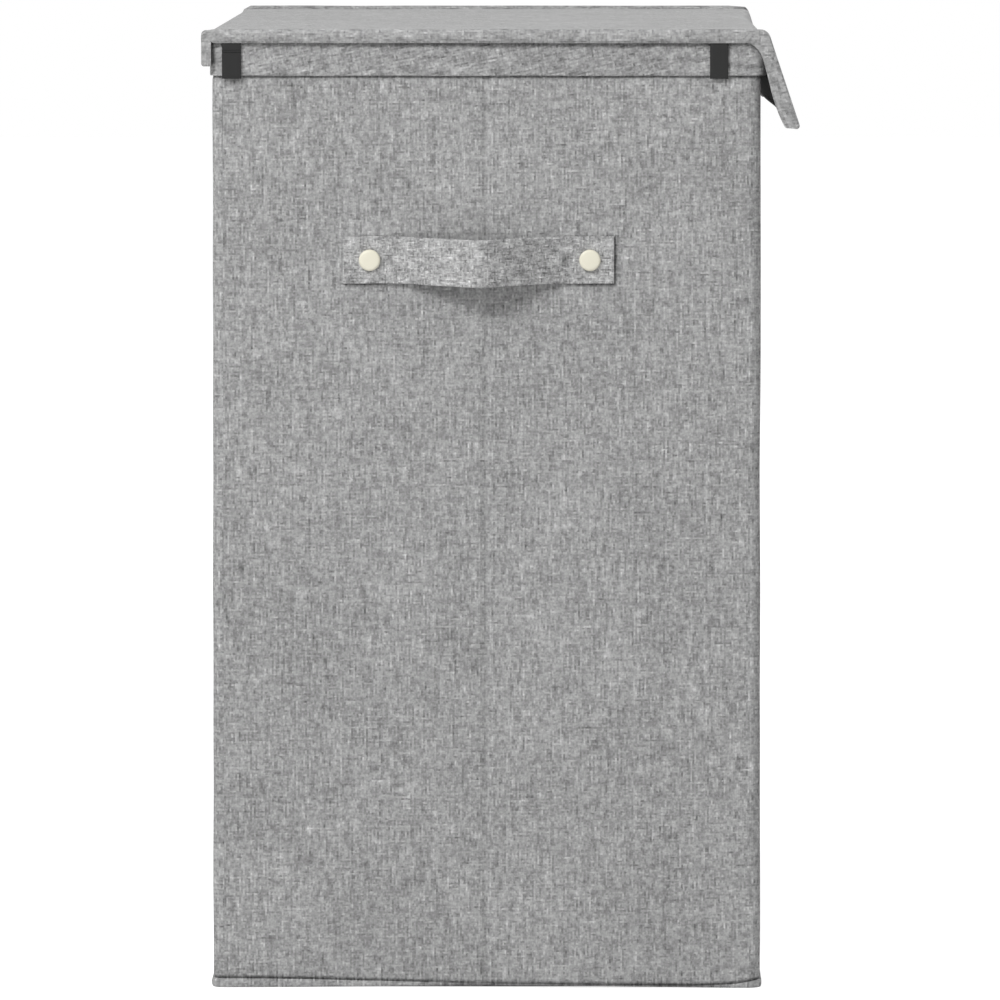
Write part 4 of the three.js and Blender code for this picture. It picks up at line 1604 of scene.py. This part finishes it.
@dataclass(frozen=True)
class EndFittings:
    """Strap, rivets and hooks of one end. Both ends are alike, turned half round.

    Attributes:
        turned: -1 for the far end, 1 for the near end.
        prefix: near or far.
        left: the half panel at the left, seen from outside.
        right: the half panel at the right.
        bow: how far the strap stands off in its middle.
        droop: how far it hangs down there.
        edge: rounding of its edges.
    """

    turned: int
    prefix: str
    left: str
    right: str
    bow: float = 15.5
    droop: float = 1.9
    edge: float = 0.8

    def turn(self, x: float, y: float, z: float) -> Point:
        """Puts a point of the near end onto this end."""
        return self.turned * x, self.turned * y, z

    def bowed(self, x: float) -> Pair:
        """Bow of the strap between its flat ends.

        Args:
            x: place across.

        Returns:
            How far it stands off and how far it hangs down.
        """
        root, tip = STRAP_START + STRAP_FLAT, STRAP_END - STRAP_FLAT
        share = 1 - abs(2 * min(max((x - root) / (tip - root), 0.0), 1.0) - 1)
        wave, beam = (1 - math.cos(math.pi * share)) / 2, share * share * (3 - share) / 2
        swell = 0.5 * wave + 0.5 * beam
        return self.bow * swell, self.droop * swell

    def strap_line(self, x: float) -> list[Spot]:
        """Makes one upright line of the strap.

        Args:
            x: place across.

        Returns:
            Its spots.
        """
        half, middle = (STRAP_TOP - STRAP_FOOT) / 2, (STRAP_TOP + STRAP_FOOT) / 2
        out, drop = self.bowed(x)
        slope = (self.bowed(x + 0.1)[0] - self.bowed(x - 0.1)[0]) / 0.2
        size = math.hypot(1, slope)
        ends = rounded(x, STRAP_START, STRAP_END, self.edge)
        # Painted shade on the right half of the bow, which turns away from the light.
        shade, spots = 0.17 * ease(x, -8, 6) * ease(-x, -60, -42), []
        for level in (-1, -0.985, -0.95, -0.9, *np.linspace(-0.8, 0.8, 9), 0.9, 0.95, 0.985, 1):
            give = max(rounded(level * half, half, -half, self.edge), ends) * 0.8
            z = middle - drop + level * half + ripple(x, level * 9, 25, 0.25, 5.0)
            base = -HALF_LENGTH - STRAP_GAP - out * (1 - 0.08 * level)
            outer, inner = (
                self.turn(x - slope / size * depth, base - depth / size, z)
                for depth in (STRAP_THICK - give, give * 0.5)
            )
            spots.append(Spot(outer, inner, (x, z), shade))
        return spots

    def build_strap(self) -> None:
        """Makes the strap, flat at its rivets and bowed out between them."""
        start, end = STRAP_START, STRAP_END
        walk = steps_between(start, end, 2.8, (start + 0.3, start + 0.8, end - 0.8, end - 0.3))
        spots = [self.strap_line(x) for x in walk]
        piece = sewn(f"{self.prefix}_strap", spots, Finish.STRAP)
        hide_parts(f"{self.prefix}_handle")
        one, two = (f"{self.prefix}_rear_panel", -0.044), (f"{self.prefix}_front_panel", 0.040)
        if self.turned < 0:
            one, two = (one[0], -0.040), (two[0], 0.044)
        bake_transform(piece)

    def build_rivet(self, panel: str, x: float) -> None:
        """Makes a domed rivet with its shank and tail.

        Args:
            panel: the half panel that it is set in.
            x: its place across the near end.
        """
        seat = HALF_LENGTH + STRAP_GAP + STRAP_THICK + 0.2
        radius, height, around = 6.7, 2.4, 40
        aside, lift = -0.5, 1.3
        profile = [(radius * r, seat + h) for r, h in (
            (0.15, height), (0.45, 2.37), (0.7, 2.28), (0.82, 2.15), (0.9, 1.9), (0.955, 1.5),
            (0.985, 1.0), (1.0, 0.45), (0.995, 0.1), (0.97, 0.0))]
        profile += [(2.0, seat), (2.0, 293.4)]
        profile += [(3.6, 293.4), (4.0, 293.1), (4.0, 292.9), (3.4, RIVET_TAIL)]
        cutting = Cutting()
        for size, reach in profile:
            cap = reach >= seat
            cx, cz = x + (aside if cap else 0.0), RIVET_LEVEL + (lift if cap else 0.0)
            for a in np.linspace(0, 2 * math.pi, around, endpoint=False):
                point = self.turn(cx + size * math.cos(a), -reach, cz + size * math.sin(a))
                cutting.points.append(point)
        top, last = len(cutting.points), (len(profile) - 1) * around
        cutting.points.append(self.turn(x + aside, -(seat + height), RIVET_LEVEL + lift))
        cutting.points.append(self.turn(x, -RIVET_TAIL, RIVET_LEVEL))
        blank = [(0.0, 0.0)] * 4
        for i in range(around):
            k = (i + 1) % around
            for j in range(0, last, around):
                cutting.face([j + i, j + k, j + around + k, j + around + i], blank)
            cutting.face([top, k, i], blank[:3])
            cutting.face([top + 1, last + i, last + k], blank[:3])
        piece = cutting.sew(f"{panel}_rivet_cap", Finish.CAP)
        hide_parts(f"{panel}_rivet")
        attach(piece, f"{panel}_panel")

    def build_hook(self, panel: str, x: float, ridge: bool) -> None:
        """Makes a flat hook over the rim.

        Args:
            panel: the half panel that carries it.
            x: its place across the near end.
            ridge: whether its front has a moulded ridge.
        """
        thick, half = 1.8, 5.9 if ridge else 5.65
        out, inn, top = -303.4, -291.4, 590.9
        raised = out - (0.6 if ridge else 0.0)
        line = [(out, z) for z in (567.9, 568.4, 572, 578, 582, 584.1)]
        line += [(raised, 584.5), (raised, 585.3), (out, 585.7)]
        line += over_rim(out, inn, top, 2.2, 6)
        line += [(inn, z) for z in (580, 572, 564, 560.4, 559.9)]
        last = len(line) - 1
        spots = []
        for w in np.array([-1, -0.97, -0.9, -0.5, 0, 0.5, 0.9, 0.97, 1]) * half:
            give = rounded(w, half, -half, 0.5)
            row = []
            for j, (y, z) in enumerate(line):
                before, after = line[max(j - 1, 0)], line[min(j + 1, last)]
                dy, dz = after[0] - before[0], after[1] - before[1]
                if 4 < j < 9:
                    dy, dz = 0.0, 1.0
                size = math.hypot(dy, dz)
                ny, nz = dz / size, -dy / size
                soft = max(give, 0.4 if j in (0, last) else 0.0)
                outer, inner = (
                    self.turn(x + w, y + ny * depth, z + nz * depth)
                    for depth in (soft, thick - soft)
                )
                row.append(Spot(outer, inner, (w, z)))
            spots.append(row)
        piece = sewn(f"{panel}_bag_hook", spots, Finish.HOOK)
        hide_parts(f"{panel}_hook")
        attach(piece, f"{panel}_panel")

    def build(self) -> None:
        """Makes the end's pieces."""
        self.build_strap()
        for panel, x in zip((self.left, self.right), RIVET_PLACES):
            self.build_rivet(panel, x)
        for panel, x, ridge in zip((self.left, self.right), HOOK_PLACES, (True, False)):
            self.build_hook(panel, x, ridge)


@dataclass(frozen=True)
class Stitching:
    """Runs of stitches, laid along seam lines by Geometry Nodes.

    Attributes:
        pitch: distance from stitch to stitch in millimetres.
        length: length of a stitch.
        width: width of its thread.
    """

    pitch: float = 5.0
    length: float = 3.7
    width: float = 0.7

    @staticmethod
    @cache
    def tree() -> bpy.types.NodeTree:
        """The node tree, made at its first use.

        Returns:
            A tree that sets a rounded stitch at every pitch of the lines it is given.
        """
        tree = bpy.data.node_groups.new("stitches_along_seam", "GeometryNodeTree")
        sockets = {"Seam": "Geometry", "Pitch": "Float", "Length": "Float", "Width": "Float",
                   "Thread": "Material"}
        for label, kind in sockets.items():
            tree.interface.new_socket(label, in_out="INPUT", socket_type=f"NodeSocket{kind}")
        tree.interface.new_socket("Stitches", in_out="OUTPUT", socket_type="NodeSocketGeometry")
        bench = Bench(tree)
        seam = bench.node("NodeGroupInput", None, None, "Seam")
        pitch, length, width, thread = (
            seam.other(name) for name in ("Pitch", "Length", "Width", "Thread")
        )
        curve = bench.node("GeometryNodeMeshToCurve", None, {"Mesh": seam})
        spots = bench.node(
            "GeometryNodeCurveToPoints", {"mode": "LENGTH"}, {"Curve": curve, "Length": pitch},
            "Points",
        )
        grain = bench.node(
            "GeometryNodeMeshUVSphere", None, {"Segments": 6, "Rings": 5, "Radius": 0.5}, "Mesh",
        )
        laid = bench.node("GeometryNodeInstanceOnPoints", None, {
            "Points": spots, "Instance": grain, "Rotation": spots.other("Rotation"),
            "Scale": bench.point(width, width, length)})
        real = bench.node("GeometryNodeRealizeInstances", None, {"Geometry": laid})
        dyed = bench.node("GeometryNodeSetMaterial", None, {"Geometry": real, "Material": thread})
        bench.node("NodeGroupOutput", None, {"Stitches": dyed}, None)
        return tree

    def lay(
        self, name: str, seams: Sequence[Sequence[Point]], finish: Finish,
    ) -> bpy.types.Object:
        """Sews along closed seam lines.

        Args:
            name: the piece's name.
            seams: the points of each line, in millimetres.
            finish: the thread.

        Returns:
            One plain mesh with every stitch.
        """
        points, edges = [], []
        for seam in seams:
            start = len(points)
            points += [tuple(c * MM for c in p) for p in seam]
            edges += [(start + k, start + (k + 1) % len(seam)) for k in range(len(seam))]
        mesh = bpy.data.meshes.new(name)
        mesh.from_pydata(points, edges, [])
        piece = bpy.data.objects.new(name, mesh)
        bpy.context.scene.collection.objects.link(piece)
        modifier = piece.modifiers.new("stitches", "NODES")
        modifier.node_group = self.tree()
        wanted = {"Pitch": self.pitch * MM, "Length": self.length * MM, "Width": self.width * MM,
                  "Thread": finish.material()}
        for item in self.tree().interface.items_tree:
            if item.name in wanted:
                modifier[item.identifier] = wanted[item.name]
        bpy.context.view_layer.update()
        held = piece.evaluated_get(bpy.context.evaluated_depsgraph_get())
        stitches = bpy.data.meshes.new_from_object(held)
        piece.modifiers.clear()
        piece.data = stitches
        stitches.name = name
        LOG.info("%s: %d faces", name, len(stitches.polygons))
        return piece


@dataclass(frozen=True)
class Block:
    """The box of a CAD node in millimetres.

    Attributes:
        y0: its near end.
        y1: its far end.
        z0: its foot.
        z1: its top.
    """

    y0: float
    y1: float
    z0: float
    z1: float

    @classmethod
    def of(cls, node: str) -> "Block":
        """Reads a node's box from the frame."""
        low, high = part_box(node)
        return cls(low.y / MM, high.y / MM, low.z / MM, high.z / MM)


@dataclass(frozen=True)
class Bag:
    """A removable bag, hung from the rim and sagging onto the floor.

    Attributes:
        prefix: near or far.
        turned: 1 for the near bag, -1 for the far one.
        around: points round it.
        half_width: half its width.
        near_end: y of the near bag's near side.
        far_end: y of its far side.
        middle: y of the near bag's middle.
        seam_level: height of the hem's seam.
        corner: radius of its corners in plan.
        girth: length of its outline.
    """

    prefix: str
    turned: int
    around: int = 168
    half_width: float = 162.0
    near_end: float = -291.1
    far_end: float = -1.5
    middle: float = -146.3
    seam_level: float = 556.0
    corner: float = 14.0
    girth: float = 904.0

    def ring(self, along: float, inset: float) -> Pair:
        """A point of the bag's outline in plan.

        Args:
            along: the walk round it, from 0 to 1.
            inset: how far inside the outline.

        Returns:
            Its x and y on the near bag.
        """
        half_x, corner = self.half_width - inset, self.corner
        low, high = self.near_end + inset, self.far_end - inset
        middle, half_y = (low + high) / 2, (high - low) / 2
        sides = (2 * (half_x - corner), 2 * (half_y - corner))
        arc = corner * math.pi / 2
        walk = along * (2 * sum(sides) + 4 * arc)
        for k, (dx, dy) in enumerate(((1, 0), (0, 1), (-1, 0), (0, -1))):
            cx, cy = (dx + dy) * (half_x - corner), (dy - dx) * (half_y - corner)
            back = sides[k % 2] - walk
            if back >= 0:
                return cx + dy * corner - dx * back, middle + cy - dx * corner - dy * back
            walk -= sides[k % 2]
            if walk <= arc:
                break
            walk -= arc
        angle = walk / corner + (k - 1) * math.pi / 2
        return cx + corner * math.cos(angle), middle + cy + corner * math.sin(angle)

    def drawn_in(self, share: float, z: float) -> float:
        """How far the hanging cloth is drawn in from its outline.

        Args:
            share: the walk round it, from 0 to 1.
            z: height.

        Returns:
            Its distance from the outline.
        """
        angle, seed = 2 * math.pi * share, 3.0 + self.turned
        u, v = math.cos(angle) * 3.4, math.sin(angle) * 3.4
        sag = ease(-z, -578, -380) * ease(z, 6, 90)
        broad = noise.noise(Vector((u, v, z / 420 + seed))) * 13.0
        fine = noise.noise(Vector((u * 3.1, v * 3.1, z / 190 + seed))) * 5.0
        slump = hill(z - 34, 26) * abs(noise.noise(Vector((u * 2, v * 2, z / 11)))) * 5.0
        curl = 2.5 * hill(z - 5, 9)
        return sag * max(broad + fine + 4.6, 0.3) + slump * min(1.0, z / 20) + curl

    def floor_spot(self, share: float, value: float) -> Spot:
        """A spot of the bag's floor.

        Args:
            share: the walk round it, from 0 to 1.
            value: 0 at the middle, 1 at the wall.

        Returns:
            The spot.
        """
        x, y = self.ring(share, 1.5)
        cx, cy = x * value, self.middle + (y - self.middle) * value
        z = 4.9 + 1.6 * abs(ripple(cx, cy, 45, 1.0, 1.0)) * min(1.0, (1 - value) * 8)
        outer, inner = ((self.turned * cx, self.turned * cy, up) for up in (z, z + 1.0))
        return Spot(outer, inner, (share * self.girth, 120 * value - 120))

    def wall_spot(self, share: float, z: float) -> Spot:
        """A spot of the bag's wall.

        Args:
            share: the walk round it, from 0 to 1.
            z: height.

        Returns:
            The spot.
        """
        pull, hem = self.drawn_in(share, z), 1.2 if z > 552.5 else 0.0
        a, b = self.ring(share, pull), self.ring(share, pull + 1.2 + hem)
        outer = (self.turned * a[0], self.turned * a[1], z)
        inner = (self.turned * b[0], self.turned * b[1], z if z > 6 else 6.1)
        return Spot(outer, inner, (share * self.girth, z))

    def hem_seam(self) -> list[Point]:
        """Lays out the seam that holds the bag's hem, on its inner side.

        Returns:
            Its points.
        """
        found = []
        for share in (k / 200 for k in range(200)):
            x, y = self.ring(share, self.drawn_in(share, self.seam_level) + 2.5)
            found.append((self.turned * x, self.turned * y, self.seam_level))
        return found

    def tab_seam(self, side: int, name: str) -> list[Point]:
        """Lays out the box seam that holds a pull tab.

        Args:
            side: -1 for the back wall's side, 1 for the front wall's.
            name: back or front.

        Returns:
            Its points.
        """
        tab = Block.of(f"{self.prefix}_bag_{name}_tab")
        y0, y1, low, high = tab.y0 + 4, tab.y1 - 4, tab.z1 - 24, tab.z1 - 5
        return [(side * 157.3, y, z) for y, z in ((y0, low), (y1, low), (y1, high), (y0, high))]

    def build(self) -> None:
        """Makes the bag, its two pull tabs and the seams that hold them."""
        walls = (4.9, 6.5, 10, 15, 21, 27, 34, 41, 50, 62, *np.linspace(80, 540, 25),
                 552, 553.4, 568, 582.6, 583.5)
        spots = []
        for share in (i / self.around for i in range(self.around)):
            floor = [self.floor_spot(share, value) for value in (0.06, 0.25, 0.5, 0.75, 0.92)]
            spots.append(floor + [self.wall_spot(share, z) for z in walls])
        piece = sewn(f"{self.prefix}_laundry_bag", spots, Finish.BAG, closed=True, pole=True)
        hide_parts(f"{self.prefix}_bag")
        seams = [self.hem_seam()]
        for side, name in ((-1, "back"), (1, "front")):
            self.build_tab(side, name)
            seams.append(self.tab_seam(side, name))
        thread = Stitching().lay(f"{self.prefix}_bag_stitches", seams, Finish.PALE_THREAD)
        for held in (piece, thread):
            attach(held, "back_wall")
            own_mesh(held)

    def build_tab(self, side: int, name: str) -> None:
        """Makes a pull tab.

        Args:
            side: -1 for the back wall's side, 1 for the front wall's.
            name: back or front.
        """
        tab = Block.of(f"{self.prefix}_bag_{name}_tab")

        def spot(y: float, z: float) -> Spot:
            """Makes the spot at a place, hanging inwards towards the foot.

            Args:
                y: place along the wall.
                z: height.

            Returns:
                The spot.
            """
            give = min(rounded(y, tab.y0, tab.y1, 0.6) + rounding(z, tab.z0, 0.9), 0.85)
            hang = 1.6 * max(0.0, (tab.z1 - 30 - z) / 40) ** 2
            outer, inner = (
                (side * (x - hang), y, z) for x in (159.2 - give, 157.4 + give)
            )
            return Spot(outer, inner, (y, z))

        levels = steps_between(tab.z0, tab.z1, 3.0, (tab.z0 + 0.4, tab.z0 + 1.0))
        across = steps_between(tab.y0, tab.y1, 3.0, (tab.y0 + 0.3, tab.y1 - 0.3))
        spots = [[spot(y, z) for z in levels] for y in across]
        piece = sewn(f"{self.prefix}_{name}_pull_tab", spots, Finish.WEBBING)
        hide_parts(f"{self.prefix}_bag_{name}_tab")
        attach(piece, "back_wall")
        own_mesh(piece)


@dataclass(frozen=True)
class Base:
    """The base sheet, the floor boards' wrap and the patches of hook tape.

    Attributes:
        half_width: half the sheet's width.
        half_length: half its length.
        top: height of its upper side.
        foot: height of its lower side.
    """

    half_width: float = 166.0
    half_length: float = 294.0
    top: float = 0.85
    foot: float = 0.05

    def build_sheet(self) -> None:
        """Makes the sheet under the floor boards."""
        across, along = (
            steps_between(-half, half, 14.0) for half in (self.half_width, self.half_length)
        )
        spots = [
            [Spot((x, y, self.top), (x, y, self.foot), (x, y)) for y in along] for x in across
        ]
        piece = sewn("base_sheet", spots, Finish.LINING)
        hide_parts("floor_sheet")
        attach(piece, "back_wall")
        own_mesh(piece)

    def build_patch(self, end: str, wall: str) -> None:
        """Makes a patch that holds a bag at a long wall.

        Args:
            end: near or far.
            wall: back or front.
        """
        node, side = f"{end}_{wall}_patch", -1 if wall == "back" else 1
        patch = Block.of(node)

        def spot(y: float, z: float) -> Spot:
            """The spot at a place, rounded off towards the edges."""
            edge = rounded(y, patch.y0, patch.y1, 0.9) + rounded(z, patch.z0, patch.z1, 0.9)
            return Spot((side * (162.3 + min(edge, 1.0)), y, z), (side * 164.5, y, z), (y, z))

        levels = steps_between(patch.z0, patch.z1, 4.0, (patch.z0 + 0.5, patch.z1 - 0.5))
        across = steps_between(patch.y0, patch.y1, 4.0, (patch.y0 + 0.5, patch.y1 - 0.5))
        spots = [[spot(y, z) for z in levels] for y in across]
        piece = sewn(f"{node}_tape", spots, Finish.TAPE)
        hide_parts(node)
        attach(piece, f"{wall}_wall")

    def dress_boards(self) -> None:
        """Gives the boards and washers that stay their finish."""
        endings = {
            "floor_board": Finish.FLOOR_WRAP, "_board": Finish.BOARD, "_washer": Finish.STEEL,
        }
        for name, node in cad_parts.items():
            finish = next((endings[end] for end in endings if name.endswith(end)), None)
            for held in node.material_slots if finish else ():
                held.material = finish.material()

    def build(self) -> None:
        """Makes the base's pieces."""
        self.build_sheet()
        for end in ("near", "far"):
            for wall in ("back", "front"):
                self.build_patch(end, wall)
        self.dress_boards()


@dataclass(frozen=True)
class Studio:
    """Camera, lamps and floor.

    Attributes:
        eye: the camera's place in metres.
        yaw: how far it turns left of straight ahead, in degrees.
        pitch: how far it looks down, in degrees.
        lens: focal length for a 36 mm sensor, in millimetres.
        reach: half the floor's width in metres.
    """

    eye: Point = (0.05039, -5.58483, 0.72761)
    yaw: float = 0.455
    pitch: float = 4.563
    lens: float = 306.65
    reach: float = 14.0

    def build_camera(self) -> None:
        """Makes the camera."""
        camera = bpy.data.cameras.new("camera")
        camera.lens, camera.sensor_width, camera.sensor_fit = self.lens, 36.0, "HORIZONTAL"
        camera.clip_end = 60.0
        held = bpy.data.objects.new("camera", camera)
        held.location = self.eye
        held.rotation_euler = (math.radians(90 - self.pitch), 0.0, math.radians(self.yaw))
        bpy.context.scene.collection.objects.link(held)
        bpy.context.scene.camera = held

    def build_lamp(self, name: str, place: Point, size: float, watts: float) -> None:
        """Makes a soft lamp that points at the hamper.

        Args:
            name: its name.
            place: where it stands, in metres.
            size: its width, in metres.
            watts: its power.
        """
        lamp = bpy.data.lights.new(name, "AREA")
        lamp.shape, lamp.size, lamp.energy = "DISK", size, watts
        held = bpy.data.objects.new(name, lamp)
        held.location = place
        aim = Vector((0, 0, 0.35)) - Vector(place)
        held.rotation_euler = aim.to_track_quat("-Z", "Y").to_euler()
        bpy.context.scene.collection.objects.link(held)

    def build_floor(self) -> None:
        """Makes the pale floor, which the camera sees as white apart from the shadow."""
        signs = ((-1, -1), (1, -1), (1, 1), (-1, 1))
        corners = [(x * self.reach, y * self.reach, 0) for x, y in signs]
        mesh = bpy.data.meshes.new("floor")
        mesh.from_pydata(corners, [], [(0, 1, 2, 3)])
        floor = bpy.data.objects.new("floor", mesh)
        bpy.context.scene.collection.objects.link(floor)
        bench = Bench(bpy.data.materials.new("pale_floor"))
        matt = bench.node("ShaderNodeBsdfDiffuse", None, {"Color": (0.8, 0.8, 0.8, 1)})
        lit = bench.node("ShaderNodeEmission", None, {"Color": WHITE, "Strength": 0.75})
        both = bench.node("ShaderNodeAddShader", None, {0: matt, 1: lit})
        shown = bench.node("ShaderNodeMixShader", None, {0: bench.sight(), 1: matt, 2: both})
        bench.node("ShaderNodeOutputMaterial", None, {"Surface": shown}, None)
        mesh.materials.append(bench.owner)

    def build_world(self) -> None:
        """Makes the sky: soft light all round, seen as white."""
        world = bpy.data.worlds.new("studio")
        bpy.context.scene.world = world
        bench = Bench(world)
        soft, white = (
            bench.node("ShaderNodeBackground", None, {"Color": WHITE, "Strength": strength})
            for strength in (0.35, 1.0)
        )
        mixed = bench.node("ShaderNodeMixShader", None, {0: bench.sight(), 1: soft, 2: white})
        bench.node("ShaderNodeOutputWorld", None, {"Surface": mixed}, None)

    def build(self) -> None:
        """Makes the whole studio."""
        self.build_camera()
        self.build_world()
        self.build_floor()
        self.build_lamp("key", (-2.06, -2.93, 3.36), 1.8, 145.0)
        self.build_lamp("fill", (2.8, -3.2, 1.4), 2.6, 10.0)
        self.build_lamp("back", (1.8, 3.6, 2.8), 2.6, 55.0)
        bpy.context.scene.view_settings.view_transform = "Standard"


def main() -> None:
    """Builds the hamper's pieces in order."""
    logging.basicConfig(level=logging.INFO, format="%(name)s %(message)s")
    Studio().build()
    Walls().build()
    RimBinding().build()
    FootHem().build()
    Lid().build()
    Flap().build()
    EndFittings(1, "near", "near_rear", "near_front").build()
    EndFittings(-1, "far", "far_front", "far_rear").build()
    Bag("near", 1).build()
    Bag("far", -1).build()
    Base().build()
    bpy.context.view_layer.update()


if __name__ == "__main__":
    main()
